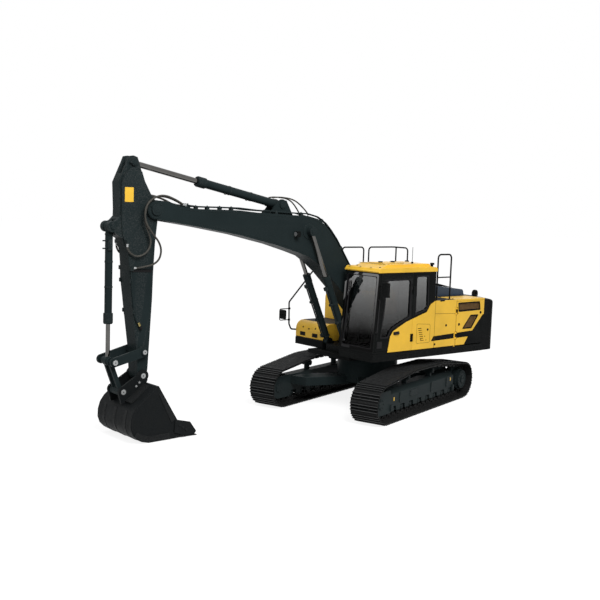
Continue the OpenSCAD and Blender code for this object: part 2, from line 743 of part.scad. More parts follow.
module cab_left_rear() {
    color(black) machine() {
        plate(cab_left - cab_wall, cab_left) difference() {
            polygon([[cab_back + cab_wall, floor_top], [cab_back + cab_wall, cab_eaves],
                [door_back - door_gap, cab_eaves], [door_back - door_gap, floor_top]]);
            quarter_window();
        }
        translate([cab_hinge_x, cab_left, 0]) hinge(-1, cab_hinges, true);
    }
}
module cab_roof() {
    color(yellow) machine() {
        plate(cab_inner_y, upper_half) polygon(concat([[cab_back - roof_lip, cab_eaves]],
            arc([cab_back - roof_lip + roof_round, cab_eaves + roof_edge - roof_round], roof_round, 180, 90),
            arc([eaves_front + roof_visor - 90, cab_eaves + roof_edge - 70], 70, 90, 20),
            [[eaves_front + roof_visor, cab_eaves + 25], [eaves_front + roof_visor - 10, cab_eaves]]));
        plate(cab_inner_y + crown_inset, upper_half - crown_inset) polygon(concat(
            [[cab_back + 70, roof_top - 1]], arc([cab_back + 150, roof_top], roof_crown, 140, 90),
            arc([780, roof_top], roof_crown, 90, 40), [[960, roof_top - 1]]));
        plate(seat_y - hatch_half, seat_y + hatch_half) polygon([[170, roof_top], [180, hatch_top],
            [700, hatch_top], [720, roof_top]]);
    }
}
module roof_fittings() {
    color(black) machine() {
        translate([-120, seat_y + 190, roof_top + roof_crown + pin_gap]) {
            cylinder(r = 22, h = 30);
            cylinder(r = 5, h = 330);
        }
        for (x = [260, 610])
            block([x - 35, seat_y - 30, hatch_top + pin_gap], [x + 35, seat_y + 30, hatch_top + 26]);
        for (y = [cab_inner_y + 130, upper_half - 130]) {
            block([cab_back + 10, y - 25, roof_top + pin_gap], [cab_back + 40, y + 25, roof_top + 40]);
            block([cab_back - 10, y - 35, roof_top + 38], [cab_back + 42, y + 35, roof_top + 78]);
        }
    }
}
mirror_arm_z = 2640;
mirror_out = 250;
mirror_x = 1165;
mirror_foot = front_at(mirror_arm_z) - cab_wall / 2;
module left_mirror() {
    color(black) machine() {
        block([mirror_foot - 18, cab_left + pin_gap, mirror_arm_z - 30],
            [mirror_foot + 18, cab_left + 14, mirror_arm_z + 30]);
        bar([mirror_foot, cab_left + 8, mirror_arm_z], [mirror_x, cab_left + mirror_out, mirror_arm_z], 11);
        block([mirror_x - 28, cab_left + mirror_out - 80, 2440], [mirror_x + 28, cab_left + mirror_out + 80, 2720]);
    }
}
pane_inset = (cab_wall - glass_thickness) / 2;
module cab_glass() {
    color([0.3, 0.35, 0.38]) machine() {
        plate(cab_inner_y + pillar, cab_left - pillar)
            front_strip(shield_bottom, shield_top, cab_wall - pane_inset, pane_inset);
        plate(cab_inner_y + pane_inset, cab_inner_y + pane_inset + glass_thickness) right_window();
        block([cab_back + pane_inset, cab_inner_y + 90, rear_window_bottom],
            [cab_back + pane_inset + glass_thickness, cab_left - 90, side_window_top]);
        plate(cab_left - pane_inset - glass_thickness, cab_left - pane_inset) quarter_window();
    }
}
module door_window() {
    polygon([[190, 1975], [190, side_window_top - 60], [870, side_window_top - 60], [1010, 1600], [800, 1600],
        [745, 1720], [665, 1785], [300, 1945]]);
}
cab_hinge_x = door_back - door_gap / 2;
cab_hinges = [1480, 2450];
module cab_door() {
    color(black) machine() {
        plate(cab_left - cab_wall, cab_left) difference() {
            polygon([[door_back, floor_top + door_gap], [door_back, cab_eaves - door_gap],
                [front_at(cab_eaves) - cab_wall - door_gap, cab_eaves - door_gap],
                [front_at(floor_top) - cab_wall - door_gap, floor_top + door_gap]]);
            door_window();
        }
        translate([cab_hinge_x, cab_left, 0]) hinge(1, cab_hinges, false);
    }
}
module door_glass() {
    color([0.3, 0.35, 0.38]) machine()
        plate(cab_left - pane_inset - glass_thickness, cab_left - pane_inset) door_window();
}

seat_y = (cab_inner_y + cab_left) / 2;
seat_top = 1800;
console_half = 75;
console_y = (cab_left - cab_inner_y) / 2 - cab_wall - console_half - 33;
seat_half = console_y - console_half - 15;
module seat_base() {
    color(black) machine() {
        block([-150, seat_y - seat_half + 40, floor_top], [300, seat_y + seat_half - 40, 1640]);
        block([-130, seat_y - seat_half + 90, 1639], [250, seat_y + seat_half - 90, 1680]);
    }
}
module seat() {
    color([0.1, 0.1, 0.11]) machine() plate(seat_y - seat_half, seat_y + seat_half)
        polygon([[-190, 1680], [-290, 2300], [-330, 2560], [-220, 2580], [-150, 2320], [-60, seat_top],
            [360, seat_top], [380, 1690], [340, 1680]]);
}
module consoles() {
    color(black) machine() for (s = [-1, 1]) translate([0, seat_y + s * console_y, 0]) {
        block([-120, -console_half, floor_top], [420, console_half, 1880]);
        bar([340, 0, 1870], [370, 0, 2080], 16);
        translate([374, 0, 2100]) sphere(r = 32);
    }
}
module monitor() {
    color(black) machine() {
        bar([850, cab_inner_y + 180, floor_top], [850, cab_inner_y + 180, 1820], 22);
        block([820, cab_inner_y + 80, 1800], [870, cab_inner_y + 300, 1990]);
        for (s = [-1, 1]) {
            bar([740, seat_y + s * 90, floor_top], [740, seat_y + s * 90, 1980], 12);
            block([820, seat_y + s * 90 - 60, floor_top], [1000, seat_y + s * 90 + 60, 1370]);
        }
    }
}

// Front equipment

fork_inner = arm_half + side_gap;
fork_depth = 400;
boom_outline = [[150, 1960], [958, 3069], [1233, 3445], [1400, 3630], [1552, 3770], [1760, 3890], [2017, 3945],
    [2332, 3950], [3282, 3985], [3683, 4016], [4571, 4017], [4994, 4060], [5185, 4127], [5400, 4150],
    [5560, 3850], [5446, 3820], [4562, 3700], [3657, 3557], [2791, 3375], [2273, 3235], [1960, 3140],
    [1734, 3010], [1477, 2816], [1065, 2444], [370, 1765]];
arm_pin_radius = 55;
arm_boss_radius = 165;
arm_lug_inner = arm_barrel_radius + side_gap;
arm_lug_outer = arm_lug_inner + 45;
module boom() {
    color(slate) machine() {
        difference() {
            plate(-boom_half, boom_half) {
                polygon(boom_outline);
                disc(boom_foot, 145);
                disc(arm_pivot, arm_boss_radius);
            }
            cross_bar(boom_foot, foot_pin_radius + pin_gap, -boom_half - 1, boom_half + 1);
            plate(-fork_inner, fork_inner) {
                disc(arm_pivot, fork_depth);
                translate(arm_pivot + [0, -fork_depth]) square([fork_depth, 2 * fork_depth]);
            }
        }
        cross_bar(arm_pivot, arm_pin_radius, -boom_half - 24, boom_half + 24);
        pair() plate(arm_lug_inner, arm_lug_outer) {
            polygon([[2330, 3940], [2500, 4230], [2690, 4230], [2900, 3960]]);
            disc(arm_barrel_pin, 110);
        }
        cross_bar(arm_barrel_pin, 45, -arm_lug_outer - 12, arm_lug_outer + 12);
    }
}

// Steel pipes on clamps along the boom's back
pipe_radius = 13;
pipe_lift = 42;
pipe_line = [[762, 2800], [958, 3069], [1233, 3445], [1400, 3630], [1552, 3770], [1760, 3890], [2017, 3945],
    [2332, 3950], [3282, 3985], [3683, 4016], [4571, 4017], [4880, 4045]];
pipe_inner = boom_half - 57;
pipe_outer = boom_half - 17;
pipe_rows = [-pipe_outer, -pipe_inner, pipe_inner, pipe_outer];
function across(i) = let (d = pipe_line[min(i + 1, len(pipe_line) - 1)] - pipe_line[max(i - 1, 0)])
    [-d[1], d[0]] / norm(d);
function raised(i, h) = pipe_line[i] + h * across(i);
// Each clamp as [stretch of the line, share along it]
clamps = [[0, 0.1], [1, 0.6], [4, 0.5], [6, 0.5], [7, 0.5], [9, 0.2], [9, 0.8]];
clamp_half = 28;
function stretch(i) = pipe_line[i + 1] - pipe_line[i];
module boom_pipes() {
    color(slate) machine() {
        for (y = pipe_rows)
            swept([for (i = [0 : len(pipe_line) - 1]) let (p = raised(i, pipe_lift)) [p[0], y, p[1]]], pipe_radius);
        for (c = clamps) let (p = pipe_line[c[0]] + c[1] * stretch(c[0]), d = stretch(c[0])) pair()
            translate([p[0], 0, p[1]]) rotate([0, -atan2(d[1], d[0]), 0])
                block([-clamp_half, pipe_inner - 20, pin_gap],
                    [clamp_half, boom_half - 1, pipe_lift + pipe_radius + 4]);
    }
}
lamp_place = [2320, 3586];
module boom_lamp() {
    color(black) machine() {
        block([lamp_place[0] - 30, boom_half + pin_gap, lamp_place[1] - 50],
            [lamp_place[0] + 10, boom_half + 30, lamp_place[1] + 50]);
        block([lamp_place[0] - 40, boom_half + 29, lamp_place[1] - 55],
            [lamp_place[0] + 50, boom_half + 109, lamp_place[1] + 55]);
    }
}

// A hydraulic cylinder: the barrel runs from its own pin, the rod ends in a puck at the rest length
neck_length = 40;
gland_length = 60;
puck_length = 40;
module barrel(eye_radius, eye_width, pin_radius, radius, bore, length) {
    difference() {
        union() {
            bar_x(eye_width / 2 - 1, eye_radius * 0.6, eye_radius + neck_length + 1);
            bar_x(radius, eye_radius + neck_length, length);
            bar_x(radius + 9, length - 90, length);
            rotate([90, 0, 0]) cylinder(r = eye_radius, h = eye_width, center = true);
        }
        bar_x(bore, eye_radius + neck_length + 15, length - gland_length);
        bar_x(bore - 14, eye_radius + neck_length + 15, length + 1);
        rotate([90, 0, 0]) cylinder(r = pin_radius + pin_gap, h = eye_width + 2, center = true);
    }
}
module rod(eye_radius, eye_width, radius, rest, length) {
    bar_x(radius, rest - length, rest);
    bar_x(radius + 13, rest - length, rest - length + puck_length);
    translate([rest, 0, 0]) rotate([90, 0, 0]) cylinder(r = eye_radius, h = eye_width, center = true);
}
boom_bore = boom_barrel_radius - 14;
boom_barrel_length = 1570;
boom_rod_length = 1556;
boom_rest = norm(boom_rod_pin - boom_barrel_pin);
module boom_cylinder_barrels() {
    color(slate) machine() for (s = [-1, 1]) between(boom_barrel_pin, boom_rod_pin, s * boom_cylinder_y)
        barrel(boom_eye_radius, boom_eye_width, boom_pin_radius, boom_barrel_radius, boom_bore, boom_barrel_length);
}
module boom_cylinder_rods() {
    color(steel) machine() for (s = [-1, 1]) between(boom_barrel_pin, boom_rod_pin, s * boom_cylinder_y)
        rod(80, boom_eye_width, boom_bore - 14 - pin_gap, boom_rest, boom_rod_length);
}
arm_bore = arm_barrel_radius - 14;
arm_barrel_length = 1950;
arm_rod_length = 1965;
arm_rest = norm(arm_rod_pin - arm_barrel_pin);
rod_eye_width = 120;
module arm_cylinder_barrel() {
    color(slate) machine() between(arm_barrel_pin, arm_rod_pin)
        barrel(90, 2 * arm_barrel_radius, 45, arm_barrel_radius, arm_bore, arm_barrel_length);
}
module arm_cylinder_rod() {
    color(steel) machine() between(arm_barrel_pin, arm_rod_pin)
        rod(95, rod_eye_width, arm_bore - 14 - pin_gap, arm_rest, arm_rod_length);
}
bucket_bore = bucket_barrel_radius - 13;
bucket_barrel_length = 1660;
bucket_rod_length = 1330;
bucket_rest = norm(tip_pin - bucket_barrel_pin);
module bucket_cylinder_barrel() {
    color(slate) machine() between(bucket_barrel_pin, tip_pin)
        barrel(80, 2 * bucket_barrel_radius, 45, bucket_barrel_radius, bucket_bore, bucket_barrel_length);
}
module bucket_cylinder_rod() {
    color(steel) machine() between(bucket_barrel_pin, tip_pin)
        rod(80, rod_eye_width, bucket_bore - 14 - pin_gap, bucket_rest, bucket_rod_length);
}

// Arm outline from the arm's pivot
arm_outline = [[290, 800], [320, 880], [400, 905], [480, 890], [520, 790], [675, 447], [655, 0], [660, -200],
    [640, -420], [500, -720], [420, -1580], [304, -2430], [276, -2880], [190, -2977], [104, -2890], [80, -2790],
    [55, -2360], [12, -1554], [0, -1092], [-29, -560], [-70, -190], [-150, 0], [-40, 140], [50, 228], [195, 483],
    [248, 670]];
slot_half = rod_eye_width / 2 + side_gap;
bucket_lug_inner = bucket_barrel_radius + side_gap;
bucket_lug_outer = arm_half - 15;
head_half = arm_half - 40;
head_plate = [[250, 640], [296, 654], [340, 690], [390, 702], [450, 690], [520, 640], [600, 545], [640, 430],
    [630, 0], [636, -200], [615, -420]];
head_top = 600;
head_wall = 560;
ear_pin_radius = 45;
rocker_inner = arm_half + 57;
rocker_outer = rocker_inner + 40;
module arm() {
    color(slate) machine() {
        difference() {
            union() {
                plate(-head_half, head_half) translate(arm_pivot) polygon(arm_outline);
                plate(-arm_half, arm_half) {
                    translate(arm_pivot) polygon(concat(head_plate,
                        [for (i = [9 : len(arm_outline) - 2]) arm_outline[i]]));
                    disc(bucket_pivot, 90);
                }
                plate(-bucket_lug_outer, bucket_lug_outer) {
                    translate(arm_pivot) polygon([[600, -80], [720, -200], [800, -225], [860, -330], [780, -390],
                        [600, -500]]);
                    disc(bucket_barrel_pin, bracket_radius);
                }
                cross_bar(rocker_pin, 95, -rocker_inner + 1, rocker_inner - 1);
            }
            cross_bar(arm_pivot, arm_pin_radius + pin_gap, -arm_half - 1, arm_half + 1);
            cross_bar(bucket_pivot, ear_pin_radius + pin_gap, -arm_half - 1, arm_half + 1);
            plate(-slot_half, slot_half) translate(arm_pivot) polygon([[0, 260], [head_wall, 260],
                [head_wall, head_top], [900, head_top], [900, 1000], [0, 1000]]);
            plate(-bucket_lug_inner, bucket_lug_inner)
                translate(arm_pivot) polygon([[690, 0], [690, -600], [1000, -600], [1000, 0]]);
        }
        cross_bar(rocker_pin, 40, -rocker_outer - 12, rocker_outer + 12);
        pair() cross_bar(arm_rod_pin, 60, slot_half, head_half + 26);
        pair() block([port_a[0], arm_half - 1, port_a[2] - 45], port_a + [60, 25, 25]);
        pair() block([port_b[0] - 25, arm_half - 1, port_b[2]], port_b + [25, 25, 60]);
        cross_bar(bucket_barrel_pin, 45, -bucket_lug_outer - 12, bucket_lug_outer + 12);
    }
}

link_inner = rod_eye_width / 2 + 2;
link_outer = link_inner + 50;
ear_inner = arm_half + side_gap;
ear_outer = ear_inner + 45;
module rocker_links() {
    color(slate) machine() pair() difference() {
        union() {
            plate(rocker_inner, rocker_outer) {
                disc(rocker_pin, 85);
                disc(tip_pin, 80);
                polygon([rocker_pin + [15, 84], tip_pin + [18, 77], tip_pin + [-18, -77], rocker_pin + [-15, -84]]);
            }
            cross_bar(tip_pin, 40, link_outer + 2, rocker_outer + 12);
        }
        cross_bar(rocker_pin, 40 + pin_gap, rocker_inner - 1, rocker_outer + 1);
    }
}
module power_link() {
    color(slate) machine() difference() {
        union() {
            pair() plate(link_inner, link_outer) {
                disc(tip_pin, 70);
                disc(link_pin, 76);
                polygon([tip_pin + [-35, 13], tip_pin + [35, -13], link_pin + [35, -13], link_pin + [-35, 13]]);
            }
            cross_bar(link_pin, 76, 2 - ear_inner, ear_inner - 2);
        }
        cross_bar(link_pin, ear_pin_radius + pin_gap, -ear_inner, ear_inner);
    }
}

bucket_side = [[5577, 973], [5189, 339], [4990, 90], [4990, 20], [5317, 9], [5761, 2], [5900, 35], [5992, 89],
    [6080, 175], [6122, 290], [6116, 430], [6076, 560], [6000, 665], [5900, 745], [5770, 850], [5620, 975]];
bucket_inside = [[4700, 50], [5320, 50], [5755, 40], [5880, 68], [5968, 120], [6046, 200], [6084, 300],
    [6078, 420], [6042, 540], [5975, 632], [5878, 712], [5748, 817], [5598, 940], [5500, 1100], [4700, 400]];
side_plate = 25;
ear_shape = [[5580, 1010], [5570, 1130], [5640, 1202], [6085, 940], [6140, 820], [6090, 640], [6000, 650],
    [5890, 735], [5760, 840], [5610, 960]];
module bucket() {
    color(black) machine() {
        difference() {
            plate(-bucket_half, bucket_half) polygon(bucket_side);
            plate(side_plate - bucket_half, bucket_half - side_plate) polygon(bucket_inside);
        }
        pair() plate(ear_inner, ear_outer) {
            polygon(ear_shape);
            disc(bucket_pivot, 105);
            disc(link_pin, 95);
        }
        cross_bar(bucket_pivot, ear_pin_radius, -ear_outer - 3, ear_outer + 3);
        cross_bar(link_pin, ear_pin_radius, -ear_outer - 3, ear_outer + 3);
    }
}
tooth_places = [-1, -0.5, 0, 0.5, 1];
tooth_half = 42;
tooth_reach = bucket_half - tooth_half - 2;
module bucket_teeth() {
    color(black) machine() {
        for (t = tooth_places) plate(t * tooth_reach - tooth_half, t * tooth_reach + tooth_half)
            polygon([[4990 - pin_gap, 12], [4770, 8], [4768, 22], [4900, 75], [4985, 105], [4990 - pin_gap, 105]]);
        pair() plate(bucket_half, bucket_half + 25) polygon([[5240, 345], [5189, 339], [4930, 274], [4800, 95],
            [4830, 55], [5060, 50], [5260, 120]]);
    }
}

// Hoses that cross from the boom's tip to the arm, as round points [x, y, z]
hose_radius = 17;
port_a = [5890, 187, 2985];
port_b = [6010, 187, 3400];
pipe_end = raised(len(pipe_line) - 1, pipe_lift);
pipe_way = pipe_end - raised(len(pipe_line) - 2, pipe_lift);
pipe_run = pipe_way / norm(pipe_way);
function out_of_pipe(y, d) = [pipe_end[0] + d * pipe_run[0], y, pipe_end[1] + d * pipe_run[1]];
hose_a = concat([for (d = [0.3, 20, 40]) out_of_pipe(pipe_outer, d)], [[4990, 207, 4130], [5120, 215, 4185],
    [5280, 235, 4230], [5440, 262, 4228], [5600, 280, 4162], [5705, 280, 4041], [5729, 280, 3895],
    [5697, 280, 3749], [5581, 280, 3587], [5453, 280, 3439], [5402, 280, 3290], [5437, 275, 3141],
    [5540, 255, 3050], [5680, 220, 3010], [5780, 195, 2990], port_a - [50, 0, 0], port_a - [25, 0, 0],
    port_a - [pin_gap, 0, 0]]);
hose_b = concat([for (d = [0.3, 20, 40]) out_of_pipe(pipe_inner, d)], [[4990, 165, 4128], [5120, 172, 4178],
    [5280, 188, 4215], [5440, 206, 4214], [5573, 222, 4162], [5654, 232, 4077], [5702, 235, 3894],
    [5689, 235, 3731], [5620, 235, 3570], [5585, 235, 3437], [5623, 232, 3305], [5725, 225, 3215],
    [5850, 212, 3190], [5950, 198, 3240], [6000, 189, 3310], port_b - [0, 0, 50], port_b - [0, 0, 25],
    port_b - [0, 0, pin_gap]]);
function far(p) = [for (q = p) [q[0], -q[1], q[2]]];
module arm_hoses() {
    color(black) machine() for (p = [hose_a, hose_b, far(hose_a), far(hose_b)]) swept(route(p), hose_radius);
}

car_body();
swing_bearing();
track_frames();
track_left();
track_right();
sprockets();
idlers();
rollers();
main_frame();
counterweight();
engine_block();
engine_bay_frame();
left_side_panel();
left_door();
right_door();
engine_hood();
fuel_tank();
hydraulic_tank();
tool_box();
swing_motor();
control_valve();
platform_rails();
ladder_rail();
mirror_rail();
cab_floor();
cab_front();
cab_right();
cab_rear();
cab_left_rear();
cab_roof();
cab_glass();
cab_door();
door_glass();
seat();
seat_base();
consoles();
monitor();
boom();
boom_pipes();
boom_cylinder_barrels();
boom_cylinder_rods();
arm();
arm_cylinder_barrel();
arm_cylinder_rod();
bucket_cylinder_barrel();
bucket_cylinder_rod();
rocker_links();
power_link();
bucket();
bucket_teeth();
arm_hoses();
left_panels();
cab_door_panel();
left_door_panel();
right_door_panel();
left_mirror();
roof_fittings();
boom_lamp();
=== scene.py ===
"""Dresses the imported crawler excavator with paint, glass, hoses, track shoes and small fittings."""
import json
import math

import bmesh
import bpy
from mathutils import Matrix, Vector

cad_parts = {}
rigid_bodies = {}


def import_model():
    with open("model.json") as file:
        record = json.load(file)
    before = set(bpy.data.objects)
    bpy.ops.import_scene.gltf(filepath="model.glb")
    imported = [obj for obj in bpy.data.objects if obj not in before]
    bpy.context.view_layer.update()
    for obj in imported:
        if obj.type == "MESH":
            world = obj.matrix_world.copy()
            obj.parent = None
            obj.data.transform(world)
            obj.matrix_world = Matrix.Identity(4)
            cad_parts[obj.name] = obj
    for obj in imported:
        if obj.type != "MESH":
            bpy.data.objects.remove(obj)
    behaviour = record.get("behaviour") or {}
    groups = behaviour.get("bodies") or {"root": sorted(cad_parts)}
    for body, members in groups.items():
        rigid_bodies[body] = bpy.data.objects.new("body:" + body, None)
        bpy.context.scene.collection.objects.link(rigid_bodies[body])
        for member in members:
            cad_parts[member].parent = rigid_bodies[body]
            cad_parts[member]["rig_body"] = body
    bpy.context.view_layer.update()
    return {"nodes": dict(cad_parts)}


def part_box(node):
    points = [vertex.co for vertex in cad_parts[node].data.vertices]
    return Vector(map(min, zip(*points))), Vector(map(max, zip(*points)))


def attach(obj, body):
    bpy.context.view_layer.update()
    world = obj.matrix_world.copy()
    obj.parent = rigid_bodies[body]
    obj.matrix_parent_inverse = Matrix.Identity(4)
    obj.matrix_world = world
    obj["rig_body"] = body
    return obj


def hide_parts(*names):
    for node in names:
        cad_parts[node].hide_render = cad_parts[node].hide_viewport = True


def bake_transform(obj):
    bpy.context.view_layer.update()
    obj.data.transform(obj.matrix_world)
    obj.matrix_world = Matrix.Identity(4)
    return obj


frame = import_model()

bl_info = {
    "name": "Crawler excavator",
    "version": (1, 0, 0),
    "blender": (4, 5, 0),
    "location": "3D View > Sidebar > Excavator",
    "description": "Dresses the packed solids of a crawler excavator and sets a plain studio round it",
    "category": "Object",
}

# The swing axis in the row frame; places below are in metres from it
RING_LOW, RING_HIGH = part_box("swing_bearing")
SWING_X = (RING_LOW.x + RING_HIGH.x) / 2
SLEW = math.radians(15.9)
GAUGE_HALF = 1.195
UPPER_HALF = 1.363


class ExcavatorSizes(bpy.types.PropertyGroup):
    """Sizes of the dressing."""

    edge_round: bpy.props.FloatProperty(
        name="Edge rounding", description="Radius on the edges of plates and castings",
        default=0.006, min=0.001, max=0.02, unit="LENGTH")
    hose_diameter: bpy.props.FloatProperty(
        name="Hose diameter", description="Outer diameter of the hoses from boom to arm",
        default=0.034, min=0.02, max=0.06, unit="LENGTH")
    shoe_gap: bpy.props.FloatProperty(
        name="Shoe gap", description="Gap between one track shoe and the next",
        default=0.006, min=0.002, max=0.02, unit="LENGTH")


class ExcavatorColours(bpy.types.PropertyGroup):
    """Colours of the paints and finishes."""

    slate: bpy.props.FloatVectorProperty(
        name="Slate paint", description="Boom, arm, cylinders and undercarriage",
        subtype="COLOR", size=4, default=(0.014, 0.021, 0.022, 1), min=0, max=1)
    yellow: bpy.props.FloatVectorProperty(
        name="Yellow paint", description="Panels, roof and tanks",
        subtype="COLOR", size=4, default=(0.82, 0.49, 0.042, 1), min=0, max=1)
    black: bpy.props.FloatVectorProperty(
        name="Black paint", description="Frame, cab pillars, rails and counterweight",
        subtype="COLOR", size=4, default=(0.0048, 0.0055, 0.0055, 1), min=0, max=1)
    hood: bpy.props.FloatVectorProperty(
        name="Hood paint", description="Engine hood",
        subtype="COLOR", size=4, default=(0.013, 0.030, 0.058, 1), min=0, max=1)
    dust: bpy.props.FloatVectorProperty(
        name="Dust", description="Dry dust that settles on the machine",
        subtype="COLOR", size=4, default=(0.12, 0.11, 0.095, 1), min=0, max=1)


def sizes():
    """The sizes as set in the scene."""
    return bpy.context.scene.excavator_sizes


def colours():
    """The colours as set in the scene."""
    return bpy.context.scene.excavator_colours


# Places

def at(x, y, z):
    """A point of the upper structure in the row frame."""
    return Vector((x + SWING_X, y, z))


def facing(a, t, b):
    """A point on a wall that faces ahead or back: a across, t ahead and b up."""
    return at(t, a, b)


def under(x, y, z):
    """A point of the undercarriage, which stands turned under the upper structure."""
    c, s = math.cos(SLEW), math.sin(SLEW)
    return Vector((c * x - s * y + SWING_X, s * x + c * y, z))


# Node trees

def node(tree, kind, inputs=(), **settings):
    """A node with its settings; an input that is given a socket is linked to it."""
    made = tree.nodes.new(kind)
    for key, value in settings.items():
        setattr(made, key, value)
    for key, value in dict(inputs).items():
        if isinstance(value, bpy.types.NodeSocket):
            tree.links.new(value, made.inputs[key])
        else:
            made.inputs[key].default_value = value
    return made


def maths(tree, operation, a, b=0.0, clamp=False):
    """One step of arithmetic on values."""
    return node(tree, "ShaderNodeMath", {0: a, 1: b}, operation=operation, use_clamp=clamp).outputs[0]


def ramp(tree, value, low, high, to_low=0.0, to_high=1.0):
    """A value spread from one range to another, held at the ends."""
    return node(tree, "ShaderNodeMapRange", {0: value, 1: low, 2: high, 3: to_low, 4: to_high}).outputs[0]


def mixed(tree, factor, a, b, blend="MIX"):
    """Two colours mixed."""
    return node(tree, "ShaderNodeMix", {0: factor, 6: a, 7: b}, data_type="RGBA", blend_type=blend).outputs[2]


def noise(tree, coords, scale, detail=2.0, roughness=0.5):
    """Grey noise."""
    return node(tree, "ShaderNodeTexNoise", {"Vector": coords, "Scale": scale, "Detail": detail,
                "Roughness": roughness}).outputs[0]


def height_of(tree, vector):
    """The z of a place or a direction."""
    return node(tree, "ShaderNodeSeparateXYZ", {0: vector}).outputs[2]


def toned(tree, colour, pattern, low, high, dark, light):
    """A colour made darker and lighter by a pattern."""
    tone = ramp(tree, pattern, low, high, dark, light)
    grey = node(tree, "ShaderNodeCombineColor", {0: tone, 1: tone, 2: tone}).outputs[0]
    return mixed(tree, 1.0, colour, grey, "MULTIPLY")


def group(name, inputs, outputs=("Roughness", "Height")):
    """An empty node group for a colour and the named values; gives the tree, what goes in and what comes out."""
    tree = bpy.data.node_groups.new(name, "ShaderNodeTree")
    for label, value in inputs.items():
        kind = "NodeSocketColor" if isinstance(value, tuple) else "NodeSocketFloat"
        tree.interface.new_socket(name=label, in_out="INPUT", socket_type=kind).default_value = value
    tree.interface.new_socket(name="Colour", in_out="OUTPUT", socket_type="NodeSocketColor")
    for label in outputs:
        tree.interface.new_socket(name=label, in_out="OUTPUT", socket_type="NodeSocketFloat")
    return tree, tree.nodes.new("NodeGroupInput").outputs, tree.nodes.new("NodeGroupOutput").inputs


def put_out(tree, out, **values):
    """Links a group's outputs and gives the group."""
    for label, value in values.items():
        tree.links.new(value, out[label])
    return tree


def object_place(tree):
    """Places on the object, in metres."""
    return node(tree, "ShaderNodeTexCoord").outputs["Object"]


def weathered_group():
    """Paint with uneven tone, dust on upward faces and near the ground, and bare worn edges."""
    tree, given, out = group("Weathered paint", {
        "Paint": (0.5, 0.5, 0.5, 1), "Dust": (0.3, 0.28, 0.24, 1), "Bare": (0.2, 0.2, 0.2, 1), "Dust cover": 0.2,
        "Wear": 0.3, "Gloss": 0.35})
    place = object_place(tree)
    patches = noise(tree, place, 1.7, 4.0, 0.6)
    specks = noise(tree, place, 46.0, 3.0, 0.65)
    peel = noise(tree, place, 380.0, 1.0)
    shape = node(tree, "ShaderNodeNewGeometry").outputs
    up = height_of(tree, shape["Normal"])
    settle = maths(tree, "ADD", ramp(tree, up, 0.35, 1.0, 0.0, 0.7),
                   ramp(tree, height_of(tree, place), 1.3, 0.0, 0.0, 0.55))
    settle = maths(tree, "MULTIPLY", settle, ramp(tree, patches, 0.32, 0.68, 0.35, 1.0))
    dust = maths(tree, "MULTIPLY", settle, given["Dust cover"], True)
    edge = ramp(tree, shape["Pointiness"], 0.53, 0.62)
    worn = maths(tree, "MULTIPLY", edge, ramp(tree, specks, 0.47, 0.6))
    worn = maths(tree, "MULTIPLY", worn, given["Wear"], True)
    colour = toned(tree, given["Paint"], patches, 0.3, 0.7, 0.90, 1.10)
    colour = mixed(tree, dust, colour, given["Dust"])
    colour = mixed(tree, worn, colour, given["Bare"])
    rough = maths(tree, "ADD", given["Gloss"], maths(tree, "MULTIPLY", dust, 0.4))
    rough = maths(tree, "ADD", rough, ramp(tree, specks, 0.3, 0.7, -0.04, 0.06), True)
    bump = maths(tree, "ADD", maths(tree, "MULTIPLY", peel, 0.25), maths(tree, "MULTIPLY", specks, 0.35))
    bump = maths(tree, "SUBTRACT", bump, maths(tree, "MULTIPLY", worn, 0.4))
    return put_out(tree, out, Colour=colour, Roughness=rough, Height=bump)


def steel_group():
    """Working steel: dark scale, rubbed bright on edges, with dried soil."""
    tree, given, out = group("Working steel", {
        "Steel": (0.1, 0.1, 0.1, 1), "Rubbed": (0.3, 0.3, 0.3, 1), "Soil": (0.1, 0.08, 0.06, 1), "Soil cover": 0.25,
        "Rubbing": 0.6}, ("Roughness", "Metal", "Height"))
    place = object_place(tree)
    patches = noise(tree, place, 4.5, 4.0, 0.62)
    grit = noise(tree, place, 85.0, 4.0, 0.7)
    edge = ramp(tree, node(tree, "ShaderNodeNewGeometry").outputs["Pointiness"], 0.52, 0.60)
    rub = maths(tree, "MULTIPLY", edge, ramp(tree, grit, 0.38, 0.58))
    rub = maths(tree, "MULTIPLY", rub, given["Rubbing"], True)
    soil = maths(tree, "MULTIPLY", ramp(tree, patches, 0.45, 0.72), given["Soil cover"], True)
    colour = toned(tree, given["Steel"], grit, 0.25, 0.75, 0.82, 1.18)
    colour = mixed(tree, soil, colour, given["Soil"])
    colour = mixed(tree, rub, colour, given["Rubbed"])
    rough = maths(tree, "ADD", ramp(tree, patches, 0.3, 0.7, 0.42, 0.60), maths(tree, "MULTIPLY", soil, 0.3))
    rough = maths(tree, "SUBTRACT", rough, maths(tree, "MULTIPLY", rub, 0.15), True)
    return put_out(tree, out, Colour=colour, Roughness=rough, Metal=maths(tree, "MULTIPLY", rub, 0.8),
                   Height=maths(tree, "ADD", grit, maths(tree, "MULTIPLY", patches, 0.6)))


def turned_group():
    """Fine turning and grinding marks on bright round steel, with a smear of oil."""
    tree, given, out = group("Turned metal", {"Metal": (0.6, 0.6, 0.6, 1), "Roughness": 0.2})
    place = object_place(tree)
    smear = noise(tree, place, 6.0, 3.0, 0.6)
    marks = noise(tree, node(tree, "ShaderNodeMapping", {0: place, 3: (220.0, 40.0, 220.0)}).outputs[0], 1.0, 2.0)
    rough = maths(tree, "ADD", given["Roughness"], ramp(tree, smear, 0.35, 0.7, -0.05, 0.10))
    rough = maths(tree, "ADD", rough, ramp(tree, marks, 0.3, 0.7, -0.03, 0.03), True)
    return put_out(tree, out, Colour=toned(tree, given["Metal"], smear, 0.3, 0.7, 0.88, 1.08), Roughness=rough,
                   Height=marks)


